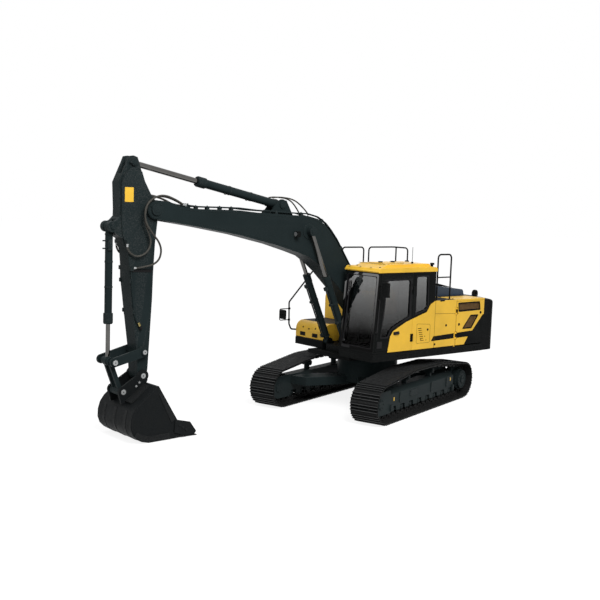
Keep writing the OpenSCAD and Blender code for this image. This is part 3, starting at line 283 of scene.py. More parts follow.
def grain_group():
    """Moulded grain of rubber and plastic, with a bloom of dust."""
    tree, given, out = group("Moulded grain", {
        "Base": (0.02, 0.02, 0.02, 1), "Dust": (0.2, 0.18, 0.15, 1), "Bloom": 0.15, "Grain": 260.0})
    place = object_place(tree)
    cells = node(tree, "ShaderNodeTexVoronoi", {"Vector": place, "Scale": given["Grain"]}).outputs["Distance"]
    patches = noise(tree, place, 7.0, 3.0, 0.6)
    bloom = maths(tree, "MULTIPLY", ramp(tree, patches, 0.4, 0.75), given["Bloom"], True)
    return put_out(tree, out, Colour=mixed(tree, bloom, given["Base"], given["Dust"]),
                   Roughness=ramp(tree, patches, 0.3, 0.7, 0.48, 0.68), Height=cells)


def weave_group():
    """Plain woven cloth with slightly uneven yarns."""
    tree, given, out = group("Woven cloth", {
        "Yarn": (0.03, 0.03, 0.035, 1), "Fleck": (0.08, 0.08, 0.09, 1), "Yarns": 420.0})
    place = object_place(tree)
    across, along = (node(tree, "ShaderNodeTexWave", {"Vector": place, "Scale": given["Yarns"], "Distortion": 0.6},
                          bands_direction=way).outputs["Fac"] for way in ("Y", "DIAGONAL"))
    over = maths(tree, "MAXIMUM", across, along)
    fleck = ramp(tree, noise(tree, place, 130.0, 3.0, 0.7), 0.5, 0.68)
    return put_out(tree, out, Colour=mixed(tree, fleck, given["Yarn"], given["Fleck"]),
                   Roughness=ramp(tree, over, 0.0, 1.0, 0.95, 0.78), Height=over)


def grip_group():
    """Punched grip pattern of a tread plate, with lighter dots: wear on a tread plate, painted highlights on the screen
    mesh.
    """
    tree, given, out = group("Tread plate", {
        "Plate": (0.02, 0.02, 0.02, 1), "Wear and highlight": (0.2, 0.2, 0.2, 1), "Dots": 55.0})
    place = object_place(tree)
    cells = node(tree, "ShaderNodeTexVoronoi", {"Vector": place, "Scale": given["Dots"], "Randomness": 0.0})
    dots = ramp(tree, cells.outputs["Distance"], 0.42, 0.24)
    # Lighter dots: wear where used for the tread plate, painted highlights where used for the screen mesh.
    scuff_and_highlight = maths(tree, "MULTIPLY", dots, ramp(tree, noise(tree, place, 12.0, 3.0), 0.42, 0.62, 0.05, 0.5))
    return put_out(tree, out, Colour=mixed(tree, scuff_and_highlight, given["Plate"], given["Wear and highlight"]),
                   Roughness=ramp(tree, scuff_and_highlight, 0.0, 0.5, 0.7, 0.45), Height=dots)


GROUPS = {"weathered": weathered_group, "steel": steel_group, "turned": turned_group, "grain": grain_group,
          "weave": weave_group, "grip": grip_group}
made_groups = {}
made_materials = {}


def blank(name):
    """An empty material, listed under its name, and its tree."""
    material = made_materials[name] = bpy.data.materials.new(name)
    material.use_nodes = True
    material.node_tree.nodes.clear()
    return material, material.node_tree


def finish_of(name, recipe, values, bump, distance, metal=0.0, coat=0.0, coat_rough=0.1, sheen=0.0, gleam=0.5):
    """A material whose colour, roughness and bump come from one of the shared groups."""
    if recipe not in made_groups:
        made_groups[recipe] = GROUPS[recipe]()
    material, tree = blank(name)
    effect = node(tree, "ShaderNodeGroup", node_tree=made_groups[recipe])
    for key, value in values.items():
        effect.inputs[key].default_value = value
    relief = node(tree, "ShaderNodeBump", {
        "Strength": bump, "Distance": distance, "Height": effect.outputs["Height"]})
    shader = node(tree, "ShaderNodeBsdfPrincipled", {
        "Base Color": effect.outputs["Colour"], "Roughness": effect.outputs["Roughness"],
        "Normal": relief.outputs[0], "Metallic": metal, "Coat Weight": coat, "Coat Roughness": coat_rough,
        "Sheen Weight": sheen, "Specular IOR Level": gleam})
    if "Metal" in effect.outputs:
        tree.links.new(effect.outputs["Metal"], shader.inputs["Metallic"])
    node(tree, "ShaderNodeOutputMaterial", {0: shader.outputs[0]})
    plain = [values[key] for key in ("Paint", "Steel", "Base") if key in values]
    material.diffuse_color = tuple(plain[0]) if plain else (0.3, 0.3, 0.3, 1)


def paint(name, colour, dust, wear, gloss, bare=(0.10, 0.10, 0.10, 1), coat=0.0, gleam=0.3):
    """One of the machine's paints."""
    finish_of(name, "weathered", {"Paint": colour, "Dust": colours().dust, "Bare": bare, "Dust cover": dust,
              "Wear": wear, "Gloss": gloss}, 0.12, 0.002, coat=coat, gleam=gleam)


def moulded(name, base, bloom, grain, bump, distance, **more):
    """A rubber or a plastic."""
    finish_of(name, "grain", {"Base": base, "Dust": colours().dust, "Bloom": bloom, "Grain": grain}, bump, distance,
              **more)


def bright(name, metal_colour, rough, bump, distance, **more):
    """A turned or polished metal."""
    finish_of(name, "turned", {"Metal": metal_colour, "Roughness": rough}, bump, distance, **more)


def pane(name, tint, clear=1.0):
    """Tinted window glass, or its opaque edge, with a painted reflection: its coat is strongest at the eaves and fades
    to the sill.
    """
    material, tree = blank(name)
    place = object_place(tree)
    smear = noise(tree, place, 2.0, 3.0, 0.6)
    colour = toned(tree, tint, smear, 0.3, 0.7, 0.94, 1.06)
    # Painted reflection: the coat's weight rises with height, so the pane looks brighter at the top and darker at the
    # sill.
    reflection_by_height = maths(tree, "ADD", height_of(tree, place), maths(tree, "MULTIPLY", smear, 0.25))
    shader = node(tree, "ShaderNodeBsdfPrincipled", {
        "Base Color": colour, "Roughness": 0.0, "IOR": 1.10, "Transmission Weight": clear, "Metallic": 0.0,
        "Coat Weight": ramp(tree, reflection_by_height, 1.75, 2.95), "Coat IOR": 2.3, "Coat Roughness": 0.04})
    node(tree, "ShaderNodeOutputMaterial", {0: shader.outputs[0]})
    material.diffuse_color = (0.1, 0.11, 0.11, 1)


def make_finishes():
    """Every material of the machine."""
    c = colours()
    paint("slate", c.slate, dust=0.05, wear=0.22, gloss=0.42, gleam=0.03)
    paint("yellow", c.yellow, dust=0.05, wear=0.08, gloss=0.32, bare=(0.35, 0.30, 0.2, 1), coat=0.08, gleam=0.2)
    paint("black", c.black, dust=0.05, wear=0.2, gloss=0.44, gleam=0.025)
    paint("hood", c.hood, dust=0.02, wear=0.12, gloss=0.38, coat=0.1, gleam=0.35)
    finish_of("shoe steel", "steel", {"Steel": (0.0048, 0.0056, 0.0058, 1), "Rubbed": (0.05, 0.05, 0.05, 1),
              "Soil": (0.022, 0.020, 0.018, 1), "Soil cover": 0.2, "Rubbing": 0.6}, 0.3, 0.003, gleam=0.02)
    # Lug tips: lighter than the shoes, partly from polish by the ground and partly a painted highlight.
    finish_of("lug tip polish and highlight", "steel", {"Steel": (0.030, 0.032, 0.033, 1), "Rubbed": (0.09, 0.09, 0.09, 1),
              "Soil": (0.022, 0.020, 0.018, 1), "Soil cover": 0.1, "Rubbing": 0.6}, 0.3, 0.002, gleam=0.3)
    finish_of("bucket steel", "steel", {"Steel": (0.0085, 0.0100, 0.0107, 1), "Rubbed": (0.05, 0.05, 0.05, 1),
              "Soil": (0.018, 0.018, 0.017, 1), "Soil cover": 0.2, "Rubbing": 0.35}, 0.25, 0.003, gleam=0.035)
    bright("pin steel", (0.36, 0.37, 0.37, 1), 0.42, 0.1, 0.001, metal=0.5)
    bright("rod chrome", (0.112, 0.110, 0.105, 1), 0.10, 0.05, 0.0005, metal=1.0)
    bright("brass", (0.30, 0.24, 0.09, 1), 0.35, 0.1, 0.001, metal=0.8)
    moulded("hose rubber", (0.030, 0.029, 0.024, 1), 0.25, 300.0, 0.25, 0.001, gleam=0.3)
    moulded("window seal", (0.006, 0.006, 0.007, 1), 0.03, 420.0, 0.2, 0.0008, gleam=0.12)
    moulded("gap shade", (0.13, 0.075, 0.012, 1), 0.1, 90.0, 0.1, 0.0005, gleam=0.1)
    moulded("cab plastic", (0.012, 0.012, 0.013, 1), 0.03, 520.0, 0.25, 0.0008, gleam=0.15)
    moulded("screen glass", (0.004, 0.005, 0.008, 1), 0.02, 40.0, 0.02, 0.0002, coat=1.0, coat_rough=0.05)
    finish_of("seat cloth", "weave", {"Yarn": (0.014, 0.014, 0.016, 1), "Fleck": (0.05, 0.05, 0.055, 1),
              "Yarns": 260.0}, 0.5, 0.0015, sheen=0.3)
    finish_of("tread plate", "grip", {"Plate": (0.008, 0.008, 0.009, 1), "Wear and highlight": (0.07, 0.07, 0.07, 1),
              "Dots": 34.0}, 0.8, 0.004, gleam=0.3)
    # The screen mesh's lighter dots are painted highlights, light glinting on the mesh.
    finish_of("screen mesh", "grip", {"Plate": (0.17, 0.095, 0.035, 1), "Wear and highlight": (0.42, 0.27, 0.10, 1),
              "Dots": 95.0}, 0.6, 0.002, gleam=0.3)
    bright("mirror face", (0.62, 0.64, 0.65, 1), 0.05, 0.02, 0.0003, metal=1.0)
    bright("lamp lens", (0.25, 0.26, 0.26, 1), 0.12, 0.3, 0.002, metal=0.3, coat=1.0, coat_rough=0.03)
    pane("window glass", (0.17, 0.18, 0.18, 1))
    pane("glass edge", (0.004, 0.004, 0.004, 1), 0.0)


# Shapes

HARD_EDGE, CREASE = math.radians(30), math.radians(38)


def soften(bm, width):
    """Rounds the hard edges of each solid by up to the given width."""
    waiting = set(bm.verts)
    while waiting:
        first = waiting.pop()
        solid, open_ends = {first}, [first]
        while open_ends:
            for edge in open_ends.pop().link_edges:
                for vert in edge.verts:
                    if vert not in solid:
                        solid.add(vert)
                        open_ends.append(vert)
        waiting -= solid
        hard = {e for v in solid for e in v.link_edges
                if e.is_manifold and e.calc_face_angle(0) > HARD_EDGE}
        if hard:
            bmesh.ops.bevel(bm, geom=list(hard), offset=width, offset_type="OFFSET", segments=2, profile=0.6,
                            affect="EDGES", clamp_overlap=True, loop_slide=True, material=-1)


def piece(name, bm, body, finishes, replaces=(), round_by=0.0):
    """Turns a mesh into a piece that rides on a body, in the named finishes."""
    if round_by:
        soften(bm, round_by)
    bmesh.ops.recalc_face_normals(bm, faces=bm.faces[:])
    for face in bm.faces:
        face.smooth = True
    for edge in bm.edges:
        edge.smooth = not (edge.is_manifold and edge.calc_face_angle(0) > CREASE)
    mesh = bpy.data.meshes.new(name)
    bm.to_mesh(mesh)
    bm.free()
    for finish in finishes:
        mesh.materials.append(made_materials[finish])
    made = bpy.data.objects.new(name, mesh)
    bpy.context.scene.collection.objects.link(made)
    level = made.modifiers.new("Even shading", "WEIGHTED_NORMAL")
    level.keep_sharp = True
    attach(made, body)
    if replaces:
        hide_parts(*replaces)


def solid_of(name):
    """A CAD node's shape as a clean mesh, its flat faces whole again."""
    bm = bmesh.new()
    bm.from_mesh(frame["nodes"][name].data)
    bmesh.ops.remove_doubles(bm, verts=bm.verts[:], dist=2e-5)
    bmesh.ops.dissolve_limit(bm, angle_limit=math.radians(0.4), verts=bm.verts[:], edges=bm.edges[:])
    for face in bm.faces:
        face.material_index = 0
    return bm


def dressed(name, finish, round_by=None, second=None, choose=None):
    """A CAD node with rounded edges, standing for the node; choose picks the faces of a second finish."""
    bm = solid_of(name)
    if choose:
        for face in bm.faces:
            face.material_index = choose(face.calc_center_median())
    piece(name + ".dressed", bm, frame["nodes"][name]["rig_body"], [finish] + ([second] if second else []), [name],
          round_by or sizes().edge_round)


def dress(finish, **widths):
    """Some CAD nodes in one finish, each with the width of its rounded edges; None is the usual width."""
    for name, width in widths.items():
        dressed(name, finish, width)


def add_prism(bm, outline, low, high, place=at):
    """A flat outline in x and z, drawn out from low to high in y."""
    rings = [[bm.verts.new(place(x, y, z)) for x, z in outline] for y in (low, high)]
    count = len(outline)
    bm.faces.new(rings[0])
    bm.faces.new(rings[1][::-1])
    for i in range(count):
        j = (i + 1) % count
        bm.faces.new((rings[0][j], rings[0][i], rings[1][i], rings[1][j]))


def add_box(bm, low, high, place=at):
    """A box between two corners."""
    add_prism(bm, [(low[0], low[2]), (high[0], low[2]), (high[0], high[2]), (low[0], high[2])], low[1], high[1], place)


def sides_of(direction):
    """Two directions square to the given one."""
    helper = Vector((0, 0, 1)) if abs(direction.normalized().z) < 0.9 else Vector((1, 0, 0))
    first = direction.cross(helper).normalized()
    return first, direction.cross(first).normalized()


def circle(bm, centre, radius, u, v, count):
    """Points round a centre, in the plane of two directions."""
    return [bm.verts.new(centre + radius * (math.cos(math.tau * k / count) * u + math.sin(math.tau * k / count) * v))
            for k in range(count)]


def skin(bm, rings, capped=True):
    """Faces from ring to ring of points, with a face on each end if asked."""
    if capped:
        bm.faces.new(rings[0][::-1])
        bm.faces.new(rings[-1])
    for a, b in zip(rings, rings[1:]):
        for k in range(len(a)):
            j = (k + 1) % len(a)
            bm.faces.new((a[k], a[j], b[j], b[k]))


def add_lathe(bm, start, end, profile, count=24, index=0, bore=0.0):
    """A round solid from start to end, with a bore if asked; the profile is (share of the way, radius)."""
    before = len(bm.faces)
    if bore:
        profile = [*profile, (1, bore), (0, bore)]
    along = end - start
    u, v = sides_of(along)
    rings = [circle(bm, start + along * share, radius, u, v, count) for share, radius in profile]
    skin(bm, rings + rings[:1] if bore else rings, not bore)
    bm.faces.ensure_lookup_table()
    for face in bm.faces[before:]:
        face.material_index = index


def add_disc(bm, start, end, radius, top, count, share=0.6, index=0):
    """A round boss whose rim is chamfered from a share of its height to the radius of its top."""
    add_lathe(bm, start, end, [(0, radius), (share, radius), (1, top)], count, index)


def add_bar(bm, start, end, radius, count=16):
    """A round bar with broken edges."""
    length = (end - start).length
    chamfer = min(0.2 * radius, 0.3 * length) / length
    add_lathe(bm, start, end, [(0, 0.82 * radius), (chamfer, radius), (1 - chamfer, radius), (1, 0.82 * radius)], count)


def add_tube(bm, line, radius, count=12):
    """A round tube along a line of points."""
    rings = []
    u = None
    for i, point in enumerate(line):
        along = (line[min(i + 1, len(line) - 1)] - line[max(i - 1, 0)]).normalized()
        if u is None:
            u = sides_of(along)[0]
        u = (u - along * u.dot(along)).normalized()
        rings.append(circle(bm, point, radius, u, along.cross(u), count))
    skin(bm, rings)


def bent(points, radius, steps=6):
    """A line through the points with its corners rounded."""
    line = [points[0]]
    for before, corner, after in zip(points, points[1:], points[2:]):
        a, b = before - corner, after - corner
        half = a.angle(b) / 2
        if half > math.radians(89):
            line.append(corner)
            continue
        reach = min(radius / math.tan(half), 0.49 * a.length, 0.49 * b.length)
        arc = reach * math.tan(half)
        a.normalize()
        b.normalize()
        centre = corner + (a + b).normalized() * (arc / math.sin(half))
        first, last = corner + a * reach - centre, corner + b * reach - centre
        turn = first.angle(last)
        for k in range(steps + 1):
            share = k / steps
            line.append(centre + (first * math.sin((1 - share) * turn) + last * math.sin(share * turn))
                        / math.sin(turn))
    line.append(points[-1])
    return line


def smooth_line(points, steps):
    """A smooth line through the points, as the part's source draws its hoses."""
    line = []
    for i in range(len(points) - 1):
        a, b, c, d = points[max(i - 1, 0)], points[i], points[i + 1], points[min(i + 2, len(points) - 1)]
        for k in range(steps):
            t = k / steps
            line.append(0.5 * (2 * b + (c - a) * t + (2 * a - 5 * b + 4 * c - d) * t * t
                        + (3 * b - a - 3 * c + d) * t * t * t))
    line.append(points[-1])
    return line


def add_bolt(bm, place, normal, radius=0.014, height=0.010):
    """A hexagon bolt head on its washer."""
    n = normal.normalized()
    add_disc(bm, place - 0.002 * n, place + 0.003 * n, radius * 1.35, radius * 1.25, 12, 0.7)
    add_disc(bm, place + 0.002 * n, place + (0.003 + height) * n, radius, radius * 0.82, 6, 0.8)


def add_ring(bm, outer, inner, low, high, place=at):
    """A flat frame between two outlines of as many points, drawn out from low to high."""
    loops = [[[bm.verts.new(place(x, y, z)) for x, z in line] for line in (outer, inner)] for y in (low, high)]
    count = len(outer)
    for i in range(count):
        j = (i + 1) % count
        for a, b in ((loops[0][0], loops[0][1]), (loops[1][1], loops[1][0]), (loops[1][0], loops[0][0]),
                     (loops[0][1], loops[1][1])):
            bm.faces.new((a[i], a[j], b[j], b[i]))


def rounded(outline, radius, steps=5):
    """An outline of x and z with its corners rounded."""
    line = []
    count = len(outline)
    for i in range(count):
        corner = Vector(outline[i])
        a, b = Vector(outline[i - 1]) - corner, Vector(outline[(i + 1) % count]) - corner
        half = a.angle(b) / 2
        reach = min(radius / math.tan(half), 0.45 * a.length, 0.45 * b.length)
        first, last = corner + a.normalized() * reach, corner + b.normalized() * reach
        for k in range(steps + 1):
            t = k / steps
            point = first * (1 - t) * (1 - t) + 2 * corner * t * (1 - t) + last * t * t
            line.append((point.x, point.y))
    return line


def shrunk(outline, width):
    """An outline moved inwards by a width; the outline turns either way."""
    count = len(outline)
    area = sum(outline[i - 1][0] * outline[i][1] - outline[i][0] * outline[i - 1][1] for i in range(count))
    turn = 1 if area > 0 else -1
    line = []
    for i in range(count):
        p = Vector(outline[i])
        a, b = (p - Vector(outline[i - 1])).normalized(), (Vector(outline[(i + 1) % count]) - p).normalized()
        na, nb = Vector((-a.y, a.x)) * turn, Vector((-b.y, b.x)) * turn
        way = (na + nb).normalized()
        line.append(tuple(p + way * width / max(way.dot(na), 0.3)))
    return line


def plate(x0, z0, x1, z1, radius):
    """A rectangle with rounded corners, from one corner to the other."""
    return rounded([(x0, z0), (x1, z0), (x1, z1), (x0, z1)], radius)


def edging(outline, out, out_radius, inwards, in_radius):
    """The outer and inner line of a frame along an outline."""
    return rounded(shrunk(outline, -out), out_radius), rounded(shrunk(outline, inwards), in_radius)


def add_seam(bm, points, y, width=0.007, proud=0.0012):
    """A panel gap along a line of x and z points on a side wall."""
    side = 1 if y > 0 else -1
    for (x0, z0), (x1, z1) in zip(points, points[1:]):
        along = Vector((x1 - x0, z1 - z0)).normalized() * width / 2
        across = Vector((-along.y, along.x))
        corners = [(x + ahead * along.x + aside * across.x, z + ahead * along.y + aside * across.y)
                   for x, z, ahead, aside in ((x0, z0, -1, 1), (x1, z1, 1, 1), (x1, z1, 1, -1), (x0, z0, -1, -1))]
        add_prism(bm, corners, y - side * 0.001, y + side * proud)


def add_pin(bm, place, y, radius, collar, index=1, thick=0.014, head=0.008):
    """A pin's head in its collar on one side of the machine: place is x and z, y the face that it stands on."""
    side = 1 if y > 0 else -1

    def out(height):
        return at(place[0], y + side * height, place[1])

    add_disc(bm, out(-0.002), out(thick), collar, collar - 0.006, 32, 0.75)
    add_disc(bm, out(thick * 0.8), out(thick + head), radius, radius - 0.006, 28, 0.7, index)
    add_disc(bm, out(thick + 0.75 * head), out(thick + 1.1 * head), radius * 0.28, radius * 0.2, 12)


def bolt_ring(bm, centre, radius, count, normal, place, size=0.014):
    """Bolts round a centre on a face whose normal is along y."""
    x, y, z = centre
    way = place(0, normal, 0) - place(0, 0, 0)
    for k in range(count):
        a = math.tau * k / count
        add_bolt(bm, place(x + radius * math.cos(a), y, z + radius * math.sin(a)), way, size)


# Undercarriage

LOOP_RADIUS, CROWN, CROWN_HALF, PIN_DEPTH, RUN, SHOES = 0.400, 0.950, 0.600, 0.080, 1.825, 49
SLOPE = (math.acos(LOOP_RADIUS / math.hypot(RUN - CROWN_HALF, CROWN - LOOP_RADIUS))
         - math.atan2(RUN - CROWN_HALF, CROWN - LOOP_RADIUS))
SHOE_HALF = 0.3
ROLLER_HEIGHT, CARRIER_HEIGHT = 0.2223, 0.7537


def loop_marks():
    """Radius, turn, end of the crown and length of the slopes of the pin line."""
    radius = LOOP_RADIUS - PIN_DEPTH
    turn = math.pi - SLOPE
    crown_end = CROWN_HALF - PIN_DEPTH * math.tan(SLOPE / 2)
    rise = (-RUN + radius * math.cos(math.pi / 2 + SLOPE), LOOP_RADIUS + radius * math.sin(math.pi / 2 + SLOPE))
    slope = math.hypot(-crown_end - rise[0], CROWN - PIN_DEPTH - rise[1])
    return radius, turn, crown_end, slope


def on_loop(s):
    """Place on the pin line at the length s from the front of the ground run."""
    radius, turn, crown_end, slope = loop_marks()
    ground, arc, crown = 2 * RUN, radius * turn, 2 * crown_end
    s %= ground + 2 * arc + 2 * slope + crown
    if s < ground:
        return Vector((RUN - s, PIN_DEPTH))
    s -= ground
    if s < arc:
        angle = -math.pi / 2 - s / radius
        return Vector((-RUN + radius * math.cos(angle), LOOP_RADIUS + radius * math.sin(angle)))
    s -= arc
    if s < slope:
        angle = math.pi / 2 + SLOPE
        return Vector((-RUN + radius * math.cos(angle) + s * math.cos(SLOPE),
                       LOOP_RADIUS + radius * math.sin(angle) + s * math.sin(SLOPE)))
    s -= slope
    if s < crown:
        return Vector((-crown_end + s, CROWN - PIN_DEPTH))
    s -= crown
    if s < slope:
        return Vector((crown_end + s * math.cos(SLOPE), CROWN - PIN_DEPTH - s * math.sin(SLOPE)))
    s -= slope
    angle = math.pi / 2 - SLOPE - s / radius
    return Vector((RUN + radius * math.cos(angle), LOOP_RADIUS + radius * math.sin(angle)))


def build_track_chains():
    """Both track chains: shoes with three lugs, bolts and link plates, one mesh for each side."""
    radius, turn, crown_end, slope = loop_marks()
    length = 2 * RUN + 2 * radius * turn + 2 * slope + 2 * crown_end
    pitch = length / SHOES
    half = pitch / 2 - sizes().shoe_gap / 2
    sole, tip, inner, lip = 0.052, 0.0775, 0.038, 0.034
    face = [(-half, inner), (-half, sole - 0.005), (-half + 0.005, sole)]
    for k in (-1, 0, 1):
        for a, b in ((-0.016, sole), (-0.0065, tip - 0.002), (-0.004, tip), (0.004, tip), (0.0065, tip - 0.002),
                     (0.016, sole)):
            face.append((k * pitch * 0.315 + a, b))
    face += [(half - 0.005, sole), (half, sole - 0.005), (half + lip, 0.043), (half + lip, 0.034), (half, 0.036)]
    link = [(-half * 0.98, 0.036), (-half * 0.98, 0.002), (-half * 0.6, -0.052), (half * 0.6, -0.052),
            (half * 1.05, 0.002), (half * 1.05, 0.036)]
    for side, label in ((1, "left"), (-1, "right")):
        bm = bmesh.new()
        for k in range(SHOES):
            first, last = on_loop(k * pitch), on_loop((k + 1) * pitch)
            middle = (first + last) / 2
            along = (last - first).normalized()
            out = Vector((-along.y, along.x))

            def place(a, y, b, middle=middle, out=out, along=along):
                spot = middle + a * along + b * out
                return under(spot.x, side * GAUGE_HALF + y, spot.y)

            outward = under(out.x, 0, out.y) - under(0, 0, 0)
            before = len(bm.faces)
            add_prism(bm, face, -SHOE_HALF, SHOE_HALF, place)
            bm.faces.ensure_lookup_table()
            # Faces at the lug tips take the lighter lug finish: polish from the ground with a painted highlight.
            for side_face in bm.faces[before:]:
                if (side_face.calc_center_median() - place(0, 0, 0)).dot(outward) > tip - 0.003:
                    side_face.material_index = 1
            for y in (-0.0775, 0.0775):
                add_prism(bm, link, y - 0.018, y + 0.018, place)
            for y in (-0.105, 0.105):
                for a in (-0.030, 0.030):
                    add_bolt(bm, place(a, y, sole), outward, 0.011, 0.008)
            add_bar(bm, place(0, -0.11, -0.006), place(0, 0.11, -0.006), 0.019, 10)
        piece("track_chain_" + label, bm, "undercarriage", ["shoe steel", "lug tip polish and highlight"], ["track_" + label])


def build_running_gear():
    """Frames, wheels and the cross frame, with their bolts and covers."""
    dress("slate", track_frames=0.008, car_body=0.012, swing_bearing=0.005, sprockets=None, idlers=0.008, rollers=0.008)
    bm = bmesh.new()
    for side in (1, -1):
        def place(x, y, z, side=side):
            return under(x, side * (GAUGE_HALF + y), z)

        outward = place(0, 1, 0) - place(0, 0, 0)
        bolt_ring(bm, (-RUN, 0.150, LOOP_RADIUS), 0.215, 20, 1, place, 0.011)
        bolt_ring(bm, (-RUN, 0.215, LOOP_RADIUS), 0.165, 16, 1, place, 0.014)
        add_disc(bm, place(-RUN, 0.228, LOOP_RADIUS), place(-RUN, 0.236, LOOP_RADIUS), 0.086, 0.078, 32)
        for a in (0.6, 2.7):
            add_bolt(bm, place(-RUN + 0.055 * math.cos(a), 0.235, LOOP_RADIUS + 0.055 * math.sin(a)),
                     outward, 0.017, 0.009)
        for y in (0.170, -0.170):
            way = 1 if y > 0 else -1
            add_disc(bm, place(RUN, y - 0.002 * way, LOOP_RADIUS), place(RUN, y + 0.016 * way, LOOP_RADIUS),
                     0.105, 0.096, 32, 0.7)
            bolt_ring(bm, (RUN, y + 0.016 * way, LOOP_RADIUS), 0.08, 6, way, place, 0.012)
        add_prism(bm, plate(0.24, 0.375, 0.62, 0.505, 0.02), 0.169, 0.178, place)
        for x in (0.265, 0.595):
            for z in (0.40, 0.48):
                add_bolt(bm, place(x, 0.178, z), outward, 0.010, 0.007)
        for x in (-1.10, -0.35, 1.05):
            add_prism(bm, [(x - 0.02, 0.33), (x + 0.02, 0.33), (x + 0.02, 0.52), (x - 0.02, 0.535)],
                      0.168, 0.186, place)
        for i in range(8):
            x = -1.29 + i * 2.58 / 7
            add_disc(bm, place(x, 0.138, ROLLER_HEIGHT), place(x, 0.158, ROLLER_HEIGHT), 0.050, 0.042, 20, 0.7)
            bolt_ring(bm, (x, 0.157, ROLLER_HEIGHT), 0.03, 4, 1, place, 0.007)
        for x in (1.43, -1.40):
            add_prism(bm, [(x - 0.03, 0.21), (x + 0.02, 0.21), (x + 0.02, 0.33), (x - 0.06, 0.33)], 0.165, 0.200, place)
        add_prism(bm, rounded([(-1.86, 0.20), (-1.60, 0.20), (-0.95, 0.44), (-0.95, 0.70), (-1.20, 0.76), (-1.66, 0.70),
                  (-1.86, 0.56)], 0.05), -0.42, -0.168, place)
        for x in (-0.55, 0.55):
            add_disc(bm, place(x, 0.099, CARRIER_HEIGHT), place(x, 0.112, CARRIER_HEIGHT), 0.045, 0.036, 20)
    for k in range(36):
        a = math.tau * (k + 0.5) / 36
        add_bolt(bm, under(0.575 * math.cos(a), 0.575 * math.sin(a), 1.0495), Vector((0, 0, 1)), 0.013, 0.0)
        add_bolt(bm, under(0.655 * math.cos(a) * 0.965, 0.655 * math.sin(a) * 0.965, 0.945), Vector(
            (math.cos(a + SLEW), math.sin(a + SLEW), 0)), 0.012, 0.010)
    piece("running_gear_bolts", bm, "undercarriage", ["slate"])
    bm = bmesh.new()
    for side in (1, -1):
        for x, z in ((1.30, 0.43), (-1.30, 0.47)):
            add_prism(bm, plate(x - 0.018, z - 0.035, x + 0.018, z + 0.035, 0.006), 0.1695, 0.1725,
                      lambda a, y, b, side=side: under(a, side * (GAUGE_HALF + y), b))
    piece("frame_plates", bm, "undercarriage", ["yellow"])


# Hoses and pipes

PIPE_LINE = [(.762, 2.800), (.958, 3.069), (1.233, 3.445), (1.400, 3.630), (1.552, 3.770), (1.760, 3.890),
             (2.017, 3.945), (2.332, 3.950), (3.282, 3.985), (3.683, 4.016), (4.571, 4.017), (4.880, 4.045)]
PIPE_ROWS = (-.203, -.163, .163, .203)
PIPE_LIFT = 0.042
CLAMPS = ((0, 0.1), (1, 0.6), (4, 0.5), (6, 0.5), (7, 0.5), (9, 0.2), (9, 0.8))
HOSE_A = [(4.990, .207, 4.130), (5.120, .215, 4.185), (5.280, .235, 4.230), (5.440, .262, 4.228),
          (5.600, .280, 4.162), (5.705, .280, 4.041), (5.729, .280, 3.895), (5.697, .280, 3.749),
          (5.581, .280, 3.587), (5.453, .280, 3.439), (5.402, .280, 3.290), (5.437, .275, 3.141),
          (5.540, .255, 3.050), (5.680, .220, 3.010), (5.780, .195, 2.990), (5.840, .187, 2.985),
          (5.865, .187, 2.985), (5.8897, .187, 2.985)]
HOSE_B = [(4.990, .165, 4.128), (5.120, .172, 4.178), (5.280, .188, 4.215), (5.440, .206, 4.214),
          (5.573, .222, 4.162), (5.654, .232, 4.077), (5.702, .235, 3.894), (5.689, .235, 3.731),
          (5.620, .235, 3.570), (5.585, .235, 3.437), (5.623, .232, 3.305), (5.725, .225, 3.215),
          (5.850, .212, 3.190), (5.950, .198, 3.240), (6.000, .189, 3.310), (6.010, .187, 3.350),
          (6.010, .187, 3.375), (6.010, .187, 3.3997)]


def pipe_place(i):
    """A point of the boom's pipe line raised off the boom's back, as x and z."""
    last = len(PIPE_LINE) - 1
    way = Vector(PIPE_LINE[min(i + 1, last)]) - Vector(PIPE_LINE[max(i - 1, 0)])
    return Vector(PIPE_LINE[i]) + PIPE_LIFT * Vector((-way.y, way.x)).normalized()


def hose_route(y, points, side):
    """The line of one hose, straight out of its pipe's end."""
    end, before = pipe_place(len(PIPE_LINE) - 1), pipe_place(len(PIPE_LINE) - 2)
    way = (end - before).normalized()
    start = [(end.x + d * way.x, y, end.y + d * way.y) for d in (0.0003, 0.020, 0.040)]
    return smooth_line([at(x, side * b, z) for x, b, z in start + points], 7)


def loose_hose(name, line, radius):
    """A hose tube along its line, attached to no body."""
    bm = bmesh.new()
    add_tube(bm, line, radius, 14)
    for face in bm.faces:
        face.smooth = True
    mesh = bpy.data.meshes.new(name)
    bm.to_mesh(mesh)
    bm.free()
    mesh.materials.append(made_materials["hose rubber"])
    hose = bpy.data.objects.new(name, mesh)
    bpy.context.scene.collection.objects.link(hose)
    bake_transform(hose)
    return hose


def add_ferrule(bm, line, radius):
    """The crimped sleeve and nut on a hose's end; the line starts at the fitting."""
    way = (line[1] - line[0]).normalized()
    add_lathe(bm, line[0] - 0.004 * way, line[0] + 0.055 * way,
              [(0, radius * 1.25), (0.5, radius * 1.3), (0.55, radius * 1.12), (0.95, radius * 1.12),
               (1, radius)], 16)
    add_lathe(bm, line[0] - 0.022 * way, line[0] + 0.004 * way,
              [(0, radius * 1.35), (0.1, radius * 1.45), (0.9, radius * 1.45), (1, radius * 1.35)], 6)


